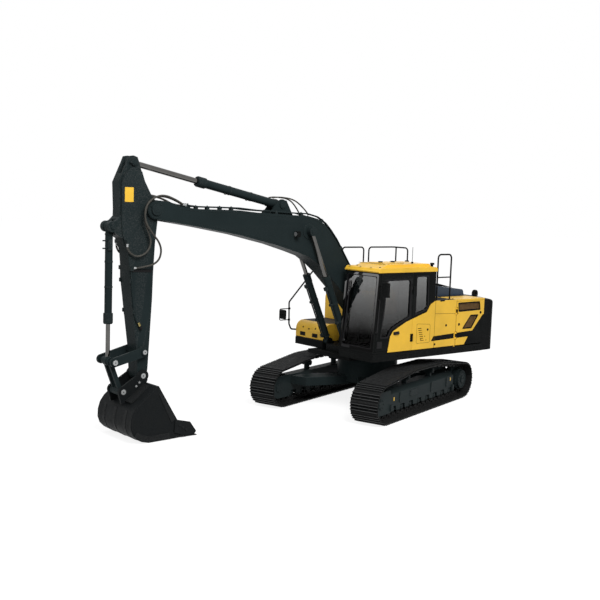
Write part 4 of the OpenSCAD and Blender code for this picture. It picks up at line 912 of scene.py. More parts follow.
def build_arm_hoses():
    """The hoses that cross from the boom's pipes to the arm, on both sides."""
    radius = sizes().hose_diameter / 2
    first = None
    boom_end, arm_end = bmesh.new(), bmesh.new()
    for side, label in ((1, "left"), (-1, "right")):
        for number, (y, points) in enumerate(((.203, HOSE_A), (.163, HOSE_B))):
            line = hose_route(y, points, side)
            hose = loose_hose("arm_hose_%s_%d" % (label, number + 1), line, radius)
            first = first or hose
            add_ferrule(boom_end, line, radius)
            add_ferrule(arm_end, line[::-1], radius)
    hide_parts("arm_hoses")
    piece("boom_ferrules", boom_end, "boom_body", ["pin steel"])
    piece("arm_ferrules", arm_end, "arm_body", ["pin steel"])


# Upper structure

TAIL_RADIUS, TAIL_SEAMS = 2.880, (1.93, 1.42)
SCREENS = ([(-1.29, 2.198), (-1.978, 2.204), (-2.008, 2.036), (-1.31, 2.024)],
           [(-1.705, 1.92), (-1.945, 1.918), (-1.737, 1.65), (-1.458, 1.65)])
LEFT_GAPS = ([(-0.5575, 1.303), (-0.5575, 2.278)], [(-0.564, 2.010), (-1.228, 1.985)],
             [(-1.2285, 1.303), (-1.2285, 2.278)])
RIGHT_GAPS = ([(-0.30, 1.28), (-0.30, 2.25)], [(-0.75, 1.28), (-0.75, 2.25)], [(-1.19, 1.70), (-0.31, 1.70)],
              [(0.06, 1.28), (0.06, 1.65)], [(0.075, 1.60), (0.80, 1.60)])


def build_upper_frame():
    """The main frame, counterweight, engine and what stands on the deck."""
    dress("black", main_frame=None, counterweight=0.012)
    dress("slate", engine_block=0.02)
    dress("yellow", engine_bay_frame=None)
    dress("slate", swing_motor=0.01, control_valve=None)
    bm = bmesh.new()
    for z in TAIL_SEAMS:
        line = []
        for k in range(25):
            a = math.pi + (k / 24 - 0.5) * 0.74
            line.append((TAIL_RADIUS * math.cos(a), TAIL_RADIUS * math.sin(a)))
        for (x0, y0), (x1, y1) in zip(line, line[1:]):
            ring = [bm.verts.new(at(x * s, y * s, z + h)) for x, y in ((x0, y0), (x1, y1))
                    for s, h in ((0.999, -0.005), (1.0004, -0.005), (1.0004, 0.005), (0.999, 0.005))]
            for i in range(4):
                j = (i + 1) % 4
                bm.faces.new((ring[i], ring[j], ring[4 + j], ring[4 + i]))
    for y in (1.3005, -1.3005):
        for z in TAIL_SEAMS:
            add_seam(bm, [(-2.16, z), (-2.46, z)], y)
    piece("counterweight_seams", bm, "upper", ["window seal"])
    bm = bmesh.new()
    for side in (1, -1):
        for y, z in ((0.30, 1.28), (0.95, 1.28)):
            x = -math.sqrt(TAIL_RADIUS ** 2 - y * y)
            way = Vector((x, side * y, 0)).normalized()
            add_disc(bm, at(x, side * y, z) - 0.01 * way, at(x, side * y, z) + 0.008 * way, 0.045, 0.038, 24)
    add_box(bm, (-2.905, -0.05, 2.03), (-2.87, 0.05, 2.10))
    add_disc(bm, at(-2.905, 0, 2.062), at(-2.912, 0, 2.062), 0.02, 0.016, 16)
    for y in (-1.25, -0.9, -0.5, 0.55, 0.9, 1.25):
        add_bolt(bm, at(-1.22, y, 2.2798), Vector((0, 0, 1)), 0.012)
    for side in (1, -1):
        for x in (-1.9, -1.5, -1.1, -0.7, -0.3, 0.1, 0.5):
            add_bolt(bm, at(x, side * 1.3635, 1.20), Vector((0, side, 0)), 0.011)
        add_pin(bm, (0.240, 1.850), side * 0.300, 0.058, 0.085, 0)
        add_pin(bm, BOOM_PINS[0], side * 0.374, 0.042, 0.062, 0)
    for k in range(3):
        add_prism(bm, plate(-0.46 + 0.12 * k, 1.60, -0.40 + 0.12 * k, 1.67, 0.01), -0.12, 0.12)
    piece("frame_fittings", bm, "upper", ["black"], round_by=0.002)


def build_side_panels():
    """Yellow panels over black walls, service doors with screens and latches, and the gaps between them."""
    dress("black", left_side_panel=0.01)
    dress("yellow", left_panels=0.005, left_door_panel=0.005, right_door_panel=0.005, cab_door_panel=0.005)

    def slatted(centre):
        x, z = centre.x - SWING_X, centre.z
        high = -1.985 < x < -1.31 and 2.042 < z < 2.195
        return 1 if high or (1.655 < z < 1.915 and -1.95 < x < -1.47 and abs(centre.y) < CAB_LEFT - 0.005) else 0

    for name in ("left_door", "right_door"):
        dressed(name, "black", 0.002, "screen mesh", slatted)
    bm = bmesh.new()
    face = UPPER_HALF
    for gap in LEFT_GAPS:
        add_seam(bm, gap, face)
    hatch = rounded([(-0.02, 1.425), (-0.42, 1.425), (-0.42, 1.80), (-0.02, 1.83)], 0.035)
    add_seam(bm, hatch + hatch[:1], face, 0.006)
    for side in (1, -1):
        add_seam(bm, [(-0.40, 2.20), (-0.40, 2.24)], side * face, 0.006)
    for gap in RIGHT_GAPS:
        add_seam(bm, gap, -face)
    step = plate(0.20, 1.34, 0.62, 1.54, 0.03)
    add_seam(bm, step + step[:1], -face)
    piece("panel_gaps", bm, "upper", ["gap shade"])
    for side, body, label in ((1, "left_door_body", "left"), (-1, "right_door_body", "right")):
        y = side * (face - 0.045)
        bm = bmesh.new()
        for outline in SCREENS:
            add_prism(bm, shrunk(outline, 0.004), y, y - side * 0.003)
        piece(label + "_door_screens", bm, body, ["screen mesh"])
        bm = bmesh.new()
        for outline in SCREENS:
            add_ring(bm, *edging(outline, 0.012, 0.02, 0.010, 0.02), side * (face - 0.004), side * (face + 0.003))
        add_seam(bm, [(-1.245, 1.985), (-1.30, 1.983)], side * face, 0.008)
        for x, z in ((-1.33, 1.745), (-2.03, 1.97)):
            add_disc(bm, at(x, side * (face - 0.002), z), at(x, side * (face + 0.006), z), 0.030, 0.026, 24)
            add_prism(bm, plate(x - 0.022, z - 0.006, x + 0.022, z + 0.006, 0.004), side * (face + 0.005),
                      side * (face + 0.011))
        piece(label + "_door_trim", bm, body, ["black"])
    bm = bmesh.new()
    for x, z in ((-0.916, 1.749), (-0.35, 1.693)):
        add_disc(bm, at(x, face - 0.002, z), at(x, face + 0.006, z), 0.026, 0.022, 24)
        add_box(bm, (x - 0.018, face + 0.005, z - 0.005), (x + 0.018, face + 0.010, z + 0.005))
    add_prism(bm, plate(-0.56, 1.352, -0.60, 1.392, 0.008), face - 0.002, face + 0.008)
    for k in range(5):
        x = -0.70 - 0.028 * k
        add_prism(bm, [(x, 2.262 - 0.004 * (k % 2)), (x - 0.022, 2.262), (x - 0.022, 2.285), (x, 2.285)], face - 0.06,
                  face + 0.006)
    for x, z in ((-0.14, 1.50), (-0.20, 1.56), (-0.27, 1.56), (-0.31, 1.48)):
        add_disc(bm, at(x, face - 0.002, z), at(x, face + 0.003, z), 0.010, 0.007, 14)
    piece("panel_latches", bm, "upper", ["black"])


def build_hood_and_tanks():
    """The engine hood, tanks and tool box with their caps, plates and grilles."""
    dress("hood", engine_hood=0.016)
    dress("yellow", fuel_tank=0.02, hydraulic_tank=0.02, tool_box=0.02)
    bm = bmesh.new()
    for y in (0.765, -0.715):
        add_box(bm, (-2.28, y - 0.06, 2.2795), (-1.30, y + 0.06, 2.285))
    piece("hood_treads", bm, "hood_body", ["tread plate"])
    bm = bmesh.new()
    for k in range(9):
        x = -2.06 + 0.055 * k
        add_box(bm, (x, -0.45, 2.43 + 0.0115 * k), (x + 0.022, 0.50, 2.437 + 0.0115 * k))
    for y in (-0.35, 0.40):
        add_tube(bm, bent([at(-2.352, y - 0.07, 2.262), at(-2.385, y - 0.07, 2.262), at(-2.385, y + 0.07, 2.262),
                 at(-2.352, y + 0.07, 2.262)], 0.02), 0.008, 10)
    piece("hood_grille", bm, "hood_body", ["black"])
    bm = bmesh.new()
    add_box(bm, (-0.28, -1.33, 2.2495), (-0.08, -1.02, 2.255))
    add_box(bm, (-1.17, -1.33, 2.2495), (-0.32, -1.02, 2.255))
    add_box(bm, (0.072, -1.32, 1.6495), (0.720, -0.46, 1.655))
    piece("deck_treads", bm, "upper", ["tread plate"])
    bm = bmesh.new()
    for x, y, r, z in ((-0.14, -0.90, 0.07, 2.295), (-0.75, -0.90, 0.09, 2.285)):
        add_lathe(bm, at(x, y, z - 0.004), at(x, y, z + 0.020),
                  [(0, r * 0.9), (0.2, r), (0.75, r), (1, r * 0.86)], 28)
        for k in range(12):
            a = math.tau * k / 12
            add_box(bm, (x + r * math.cos(a) - 0.005, y + r * math.sin(a) - 0.005, z + 0.001),
                    (x + r * math.cos(a) + 0.005, y + r * math.sin(a) + 0.005, z + 0.016))
    for y in (-1.12, -0.72):
        add_prism(bm, [(0.880, 1.335), (0.906, 1.335), (0.906, 1.40), (0.880, 1.47)], y - 0.085, y + 0.085)
        add_prism(bm, [(0.880, 1.47), (0.895, 1.47), (0.895, 1.53), (0.880, 1.54)], y - 0.012, y + 0.012)
    add_disc(bm, at(0.897, -0.92, 1.50), at(0.910, -0.92, 1.50), 0.018, 0.014, 16)
    add_box(bm, (0.885, -1.33, 1.272), (0.912, -0.44, 1.302))
    for x in (0.25, 0.57):
        add_disc(bm, at(x, -1.362, 1.44), at(x, -1.370, 1.44), 0.02, 0.016, 16)
    piece("tank_caps", bm, "upper", ["black"], round_by=0.002)


RAIL_RADIUS = 0.017


def add_hoop(bm, start, end, y, foot, top):
    """A rail bent from one tube, with a leg at each end."""
    corners = [at(start, y, foot), at(start, y, top), at(end, y, top), at(end, y, foot)]
    add_tube(bm, bent(corners, 0.08), RAIL_RADIUS, 14)


def build_rails():
    """Handrails, ladder rail and the mirrors on their bent tubes."""
    side, ladder, rear, inner, top = -1.333, 1.303, -2.040, -0.880, 3.230
    middle, deck = 2.755, 2.28
    bm = bmesh.new()
    add_hoop(bm, -1.050, -0.380, side, 2.25, top)
    add_tube(bm, bent([at(-1.215, side, deck), at(-1.215, side, top), at(rear, side, top), at(rear, inner, top),
             at(rear, inner, deck)], 0.08), RAIL_RADIUS, 14)
    add_bar(bm, at(rear, side + 0.077, deck), at(rear, side + 0.077, top), RAIL_RADIUS)
    for a, b, z in (((-1.050, side), (-0.38, side), 2.740), ((-1.215, side), (rear, side), middle),
                    ((rear, side), (rear, inner), middle)):
        add_tube(bm, [at(a[0], a[1], z), at(b[0], b[1], z)], 0.014, 12)
    piece("platform_rail_tubes", bm, "upper", ["black"], ["platform_rails"])
    bm = bmesh.new()
    add_hoop(bm, -1.050, -0.640, ladder, deck, top)
    add_tube(bm, [at(-1.050, ladder, middle), at(-0.640, ladder, middle)], 0.014, 12)
    piece("ladder_rail_tubes", bm, "upper", ["black"], ["ladder_rail"])
    y = -UPPER_HALF - 0.045
    bm = bmesh.new()
    add_tube(bm, bent([at(0.800, -UPPER_HALF, 1.420), at(0.800, y, 1.420), at(1.000, y, 1.440), at(1.060, y, 1.560),
             at(1.075, y, 2.040), at(0.420, y, 2.700), at(-0.180, y, 2.700), at(-0.180, y, 2.200),
             at(-0.180, -UPPER_HALF, 2.200)], 0.07), RAIL_RADIUS, 14)
    add_tube(bm, bent([at(1.064, y, 1.650), at(1.330, y, 1.650), at(1.330, y, 1.895), at(1.072, y, 1.895)], 0.035),
             0.010, 12)
    add_bar(bm, at(1.245, y, 1.770), at(1.330, y, 1.770), 0.009)
    shell = plate(y - 0.09, 1.672, y + 0.09, 1.873, 0.03)
    add_prism(bm, shell, 1.217, 1.250, facing)
    for z in (1.650, 1.895):
        add_lathe(bm, at(1.062, y, z - 0.018), at(1.064, y, z + 0.018), [(0, 0.026), (1, 0.026)], 16)
    piece("mirror_rail_tube", bm, "upper", ["black"], ["mirror_rail"])
    dressed("left_mirror", "black", 0.012)
    bm = bmesh.new()
    add_prism(bm, shrunk(shell, 0.010), 1.2125, 1.2175, facing)
    left = plate(1.522, 2.446, 1.680, 2.714, 0.03)
    add_prism(bm, shrunk(left, 0.010), 1.1345, 1.1375, facing)
    piece("mirror_faces", bm, "upper", ["mirror face"])
    bm = bmesh.new()
    for x, b, z in ((-1.050, side, 2.25), (-0.380, side, 2.25), (-1.215, side, deck), (rear, side + 0.077, deck),
                    (rear, inner, deck), (-1.050, ladder, deck), (-0.640, ladder, deck)):
        add_disc(bm, at(x, b, z - 0.003), at(x, b, z + 0.009), 0.030, 0.024, 20)
    piece("rail_feet", bm, "upper", ["black"])


# Cab

def front_at(z):
    """Where the cab's front plane is at a height."""
    return 1.213 - 0.113 * (z - 1.330) / 1.554


def on_shield(a, t, b):
    """A place on the cab's leaning front: a across, t ahead of the plane, b up."""
    return at(front_at(b) + t, a, b)


SHIELD = [(0.448, 1.390), (1.289, 1.390), (1.289, 2.810), (0.448, 2.810)]
QUARTER = [(-0.345, 2.175), (-0.325, 2.800), (0.035, 2.800), (0.035, 2.015), (-0.285, 2.100)]
DOOR_WINDOW = [(0.190, 1.975), (0.190, 2.740), (0.870, 2.740), (1.010, 1.600), (0.800, 1.600), (0.745, 1.720),
               (0.665, 1.785), (0.300, 1.945)]
RIGHT_WINDOW = [(-0.430, 1.900), (-0.430, 2.800), (0.940, 2.800), (0.980, 1.900)]
CAB_LEFT = 1.351


def build_cab_shell():
    """The cab's pillars, roof, window edging, handles, wiper and lamps."""
    dress("black", cab_floor=0.008, cab_front=0.010, cab_right=0.008, cab_rear=0.008, cab_left_rear=None)
    dress("yellow", cab_roof=0.014)
    dress("black", cab_door=None, roof_fittings=0.004)
    bm = bmesh.new()
    add_ring(bm, *edging(SHIELD, 0.006, 0.03, 0.008, 0.06), 0.003, -0.030, on_shield)
    add_ring(bm, *edging(QUARTER, 0.012, 0.02, 0.016, 0.04), CAB_LEFT + 0.004, CAB_LEFT - 0.028)
    add_ring(bm, *edging(RIGHT_WINDOW, 0.012, 0.02, 0.016, 0.05), 0.382, 0.412)
    add_ring(bm, plate(0.464, 2.138, 1.273, 2.812, 0.03), plate(0.492, 2.166, 1.245, 2.784, 0.05), -0.559, -0.530,
             facing)
    piece("window_edging", bm, "upper", ["window seal"])
    bm = bmesh.new()
    add_ring(bm, *edging(SHIELD, 0.052, 0.05, -0.005, 0.03), 0.005, -0.004, on_shield)
    piece("shield_edge", bm, "upper", ["glass edge"])
    bm = bmesh.new()
    add_ring(bm, *edging(DOOR_WINDOW, 0.014, 0.03, 0.016, 0.05), CAB_LEFT + 0.004, CAB_LEFT - 0.028)
    piece("door_window_edging", bm, "cab_door_body", ["window seal"])

    bm = bmesh.new()
    add_tube(bm, bent([at(0.52, CAB_LEFT + 0.011, 1.678), at(0.52, CAB_LEFT + 0.05, 1.678),
             at(0.63, CAB_LEFT + 0.05, 1.672), at(0.63, CAB_LEFT + 0.011, 1.672)], 0.015), 0.009, 10)
    add_prism(bm, rounded([(0.49, 1.645), (0.66, 1.640), (0.66, 1.705), (0.49, 1.710)], 0.02), CAB_LEFT + 0.010,
              CAB_LEFT + 0.015)
    add_prism(bm, rounded([(0.97, 1.40), (1.11, 1.40), (1.10, 1.53), (0.97, 1.53)], 0.015), CAB_LEFT - 0.002,
              CAB_LEFT + 0.012)
    for k in range(4):
        add_box(bm, (0.99, CAB_LEFT + 0.011, 1.422 + 0.026 * k), (1.085, CAB_LEFT + 0.018, 1.432 + 0.026 * k))
    for z in (1.50, 2.56):
        add_box(bm, (0.155, CAB_LEFT - 0.001, z - 0.03), (0.185, CAB_LEFT + 0.009, z + 0.03))
    piece("cab_door_handle", bm, "cab_door_body", ["cab plastic"], round_by=0.002)

    bm = bmesh.new()
    grip = [at(front_at(z) - 0.024, CAB_LEFT + out, z)
            for out, z in ((0.0, 1.72), (0.05, 1.72), (0.05, 2.36), (0.0, 2.36))]
    add_tube(bm, bent(grip, 0.03), 0.011, 12)
    arm = [on_shield(0.515, 0.012, 1.47), on_shield(0.525, 0.030, 1.53), on_shield(0.540, 0.024, 2.05),
           on_shield(0.535, 0.018, 2.28)]
    add_tube(bm, smooth_line(arm, 6), 0.008, 8)
    add_prism(bm, [(0.518, 1.70), (0.530, 1.70), (0.540, 2.68), (0.528, 2.68)], -0.012, 0.010, on_shield)
    add_disc(bm, on_shield(0.515, -0.01, 1.47), on_shield(0.515, 0.03, 1.47), 0.026, 0.018, 16)
    add_prism(bm, plate(0.47, 1.340, 0.70, 1.384, 0.012), -0.002, 0.016, on_shield)
    for b in (0.50, 0.80, 1.10):
        add_disc(bm, at(1.1, b, 2.979), at(1.1, b, 2.986), 0.018, 0.014, 14)
    for x in (-0.35, 0.95):
        for b in (0.55, 1.20):
            add_disc(bm, at(x, b, 2.978), at(x, b, 2.992), 0.020, 0.014, 14)
    piece("cab_trim", bm, "upper", ["cab plastic"], round_by=0.002)

    bm = bmesh.new()
    hatch = plate(0.16, 0.62, 0.72, 1.115, 0.05)
    for low, high in zip(hatch, hatch[1:] + hatch[:1]):
        a, b = at(low[0], low[1], 3.0415), at(high[0], high[1], 3.0415)
        if (b - a).length > 1e-4:
            add_tube(bm, [a, b], 0.005, 6)
    for x in (-0.02, 0.86):
        add_tube(bm, [at(x, 0.50, 3.0405), at(x, 1.25, 3.0405)], 0.004, 6)
    piece("roof_gaps", bm, "upper", ["window seal"])
    bm = bmesh.new()
    for b in (0.516, 1.233):
        add_prism(bm, plate(b - 0.028, 3.022, b + 0.028, 3.052, 0.008), -0.5645, -0.568, facing)
    piece("cab_lamps", bm, "upper", ["lamp lens"])


def build_cab_glass():
    """The panes of the cab and its door."""
    dress("window glass", cab_glass=0.001, door_glass=0.001)


def inflated(name, outline, low, high, grooves):
    """A padded cushion: a closed form swollen by cloth simulation, with sewn channels pressed in after."""
    bm = bmesh.new()
    add_prism(bm, rounded(outline, 0.045), low, high)
    soften(bm, 0.03)
    bmesh.ops.recalc_face_normals(bm, faces=bm.faces[:])
    mesh = bpy.data.meshes.new(name)
    bm.to_mesh(mesh)
    bm.free()
    cushion = bpy.data.objects.new(name, mesh)
    scene = bpy.context.scene
    scene.collection.objects.link(cushion)
    grid = cushion.modifiers.new("Grid", "REMESH")
    grid.mode = "VOXEL"
    grid.voxel_size = 0.010
    even = bpy.data.meshes.new_from_object(cushion.evaluated_get(bpy.context.evaluated_depsgraph_get()))
    cushion.modifiers.remove(grid)
    cushion.data = even
    rest = [v.co.copy() for v in even.vertices]
    cloth = cushion.modifiers.new("Swell", "CLOTH")
    cloth.settings.use_pressure = True
    cloth.settings.uniform_pressure_force = 4
    cloth.settings.effector_weights.gravity = 0
    for step in range(1, 21):
        scene.frame_set(step)
    swollen = cushion.evaluated_get(bpy.context.evaluated_depsgraph_get())
    moved = [v.co.copy() for v in swollen.data.vertices]
    cushion.modifiers.remove(cloth)
    scene.frame_set(1)
    for vert, old, new in zip(even.vertices, rest, moved):
        step = new - old
        vert.co = old + step * min(1.0, 0.024 / max(step.length, 1e-6))
    for vert in even.vertices:
        for y in grooves:
            vert.co -= vert.normal * 0.009 * math.exp(-((vert.co.y - y) / 0.011) ** 2)
    for face in even.polygons:
        face.use_smooth = True
    even.materials.clear()
    even.materials.append(made_materials["seat cloth"])
    cushion.modifiers.new("Fine", "SUBSURF").levels = 1
    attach(cushion, "upper")
    return cushion


def build_cab_furniture():
    """The operator's seat, its base, the consoles, levers, pedals and display."""
    dress("cab plastic", seat_base=0.012, consoles=0.02, monitor=None)
    low, high, middle = 0.656, 1.081, 0.8685
    channels = [middle - 0.11, middle + 0.11]
    base = inflated("seat_cushion", [(-0.150, 1.700), (0.350, 1.705), (0.355, 1.785), (-0.080, 1.780)], low, high,
                    channels)
    inflated("seat_back", [(-0.180, 1.800), (-0.270, 2.300), (-0.285, 2.380), (-0.195, 2.385), (-0.160, 2.300),
             (-0.085, 1.805)], low, high, channels)
    inflated("seat_headrest", [(-0.295, 2.425), (-0.315, 2.550), (-0.235, 2.565), (-0.205, 2.430)], middle - 0.14,
             middle + 0.14, [])
    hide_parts("seat")
    bm = bmesh.new()
    for y in (middle - 0.06, middle + 0.06):
        add_bar(bm, at(-0.245, y, 2.36), at(-0.258, y, 2.46), 0.008)
    for side in (-1, 1):
        y, pedal = middle + side * 0.3245, middle + side * 0.09
        add_prism(bm, plate(-0.10, 1.878, 0.20, 1.925, 0.02), y - 0.055, y + 0.055)
        for k in range(4):
            add_disc(bm, at(0.34, y, 1.880 + 0.022 * k), at(0.343, y, 1.898 + 0.022 * k), 0.052 - 0.008 * k,
                     0.040 - 0.007 * k, 18)
        add_box(bm, (0.362, y - 0.012, 2.095), (0.392, y + 0.012, 2.150))
        for x in (0.845, 0.885, 0.925, 0.965):
            add_box(bm, (x, pedal - 0.052, 1.369), (x + 0.018, pedal + 0.052, 1.378))
        add_lathe(bm, at(0.74, pedal, 1.955), at(0.74, pedal, 2.01),
                  [(0, 0.014), (0.3, 0.024), (0.8, 0.024), (1, 0.012)], 16)
    piece("cab_controls", bm, "upper", ["cab plastic"], round_by=0.003)
    bm = bmesh.new()
    add_prism(bm, plate(0.484, 1.815, 0.668, 1.975, 0.012), 0.8195, 0.8165, facing)
    piece("display_screen", bm, "upper", ["screen glass"])


# Front equipment

def cylinder_frame(start, end, y):
    """Places along a cylinder: s from its own pin, t above it and w aside."""
    way = (Vector(end) - Vector(start)).normalized()

    def spot(s, t, w):
        return at(start[0] + way.x * s - way.y * t, y + w, start[1] + way.y * s + way.x * t)
    return spot


def box_along(bm, spot, low, high):
    """A block whose corners are given along a cylinder."""
    add_prism(bm, [(low[0], low[1]), (high[0], low[1]), (high[0], high[1]), (low[0], high[1])], low[2], high[2],
              lambda s, w, t: spot(s, t, w))


def add_cylinder_trim(bm, trunk, radius, eye, length, turn, collar=0.018):
    """Gland collar, base ring, ports and the pipe along one barrel; turn is the pipe's angle round it from the top."""
    c, r = math.cos(turn), math.sin(turn)

    def spot(s, t, w):
        return trunk(s, c * t - r * w, r * t + c * w)

    count, bore = 32, radius - 0.006
    add_lathe(bm, spot(eye + 0.038, 0, 0), spot(eye + 0.065, 0, 0),
              [(0, radius - 0.004), (0.2, radius + 0.008), (0.8, radius + 0.008), (1, radius)], count, bore=bore)
    add_lathe(bm, spot(length - 0.190, 0, 0), spot(length - 0.010, 0, 0), [
        (0, radius + 0.001), (0.05, radius + collar), (0.95, radius + collar), (1, radius + 0.6 * collar)], count,
        bore=bore)
    way = (spot(1, 0, 0) - spot(0, 0, 0)).normalized()
    high = radius + 0.034
    for s in (eye + 0.11, length - 0.23):
        box_along(bm, spot, (s - 0.035, radius - 0.012, -0.032), (s + 0.035, high + 0.022, 0.032))
    line = [spot(eye + 0.135, high, 0), spot(0.4 * length, high, 0), spot(0.7 * length, high, 0),
            spot(length - 0.255, high, 0)]
    add_tube(bm, line, 0.013, 12)
    for share in (0.36, 0.62):
        s = share * length
        box_along(bm, spot, (s - 0.022, radius - 0.006, -0.036), (s + 0.022, high + 0.018, 0.036))
        add_lathe(bm, spot(s, 0, 0) - 0.018 * way, spot(s, 0, 0) + 0.018 * way,
                  [(0, radius + 0.001), (0.1, radius + 0.006), (0.9, radius + 0.006), (1, radius + 0.001)], count,
                  bore=bore)
        add_bolt(bm, spot(s, high + 0.018, 0), spot(0, 1, 0) - spot(0, 0, 0), 0.010, 0.008)


def rod_finish(end, eye):
    """Sorts a rod's faces: bright along the rod, painted at its eye."""
    def choose(centre):
        flat = Vector((centre.x - SWING_X, centre.z))
        return 1 if (flat - Vector(end)).length < eye else 0
    return choose


BOOM_PINS = ((0.900, 1.320), (1.982, 3.641))
ARM_PINS = ((2.600, 4.140), (5.871, 4.783))
BUCKET_PINS = ((6.259, 3.686), (6.255, 1.387))
ARM_PIVOT = (5.476, 3.990)
BOOM_FACE, BOSS_FACE, ARM_FACE, LINK_FACE = 0.219, 0.228, 0.1545, 0.2638
BUCKET_FACE, EAR_FACE = 0.579, 0.2078
BOOM_WELDS = ([(1.10, 2.52), (1.50, 2.88), (1.75, 3.07), (1.98, 3.19), (2.30, 3.285), (2.80, 3.42), (3.66, 3.60),
               (4.56, 3.745), (5.15, 3.83)],
              [(0.62, 2.55), (0.98, 3.05), (1.26, 3.42), (1.43, 3.60), (1.58, 3.735), (1.78, 3.85), (2.03, 3.905),
               (2.34, 3.91), (3.28, 3.945), (3.68, 3.975), (4.56, 3.977), (4.99, 4.02)])
ARM_WELD = [(5.742, 4.645), (5.79, 4.662), (5.84, 4.690), (5.875, 4.694), (5.925, 4.685), (5.985, 4.640),
            (6.065, 4.540), (6.105, 4.420), (6.098, 3.99), (6.104, 3.79), (6.083, 3.57)]
ARM_PIPES = ([(5.915, .175, 2.73), (5.90, .170, 2.60), (5.872, .170, 2.40), (5.853, .175, 2.26)],
             [(5.847, .176, 2.20), (5.835, .178, 2.14), (5.800, .182, 2.06), (5.770, .182, 2.025)])
CYLINDER_HOSE = [(2.795, .060, 4.272), (2.770, .060, 4.276), (2.700, .060, 4.284), (2.600, .060, 4.286),
                 (2.480, .060, 4.280), (2.350, .066, 4.262), (2.230, .078, 4.220), (2.130, .095, 4.155),
                 (2.050, .112, 4.085), (1.985, .125, 4.020), (1.960, .130, 3.985), (1.945, .132, 3.955)]


def build_cylinders():
    """All the hydraulic cylinders: barrels with their glands and pipes, and bright rods."""
    dress("slate", boom_cylinder_barrels=0.004, arm_cylinder_barrel=0.004, bucket_cylinder_barrel=0.004)
    for name, pins, eye in (("boom_cylinder_rods", BOOM_PINS, 0.115), ("arm_cylinder_rod", ARM_PINS, 0.130),
                            ("bucket_cylinder_rod", BUCKET_PINS, 0.115)):
        dressed(name, "rod chrome", 0.004, "slate", rod_finish(pins[1], eye))
    bm = bmesh.new()
    for side in (1, -1):
        add_cylinder_trim(bm, cylinder_frame(*BOOM_PINS, side * 0.300), 0.070, 0.075, 1.570, math.pi, 0.007)
    piece("boom_cylinder_trim", bm, "boom_barrels", ["slate"], round_by=0.002)
    bm = bmesh.new()
    add_cylinder_trim(bm, cylinder_frame(*ARM_PINS, 0), 0.080, 0.090, 1.950, -1.9)
    piece("arm_cylinder_trim", bm, "arm_barrel", ["slate"], round_by=0.002)
    bm = bmesh.new()
    spot = cylinder_frame(*BUCKET_PINS, 0)
    add_cylinder_trim(bm, spot, 0.065, 0.080, 1.660, -1.9)
    for s in (0.24, 0.37):
        add_bar(bm, spot(s, 0.06, 0.03), spot(s, 0.135, 0.03), 0.012)
    box_along(bm, spot, (0.21, -0.02, 0.05), (0.40, 0.05, 0.095))
    piece("bucket_cylinder_trim", bm, "bucket_barrel", ["slate"], round_by=0.002)


def pipe_frame(i, share):
    """Places on the boom's back, from a share of one stretch of the pipe line: s along it, w aside and t above."""
    a, b = Vector(PIPE_LINE[i]), Vector(PIPE_LINE[i + 1])
    way = (b - a).normalized()
    foot = a + (b - a) * share

    def spot(s, w, t):
        return at(foot.x + way.x * s - way.y * t, w, foot.y + way.y * s + way.x * t)
    return spot


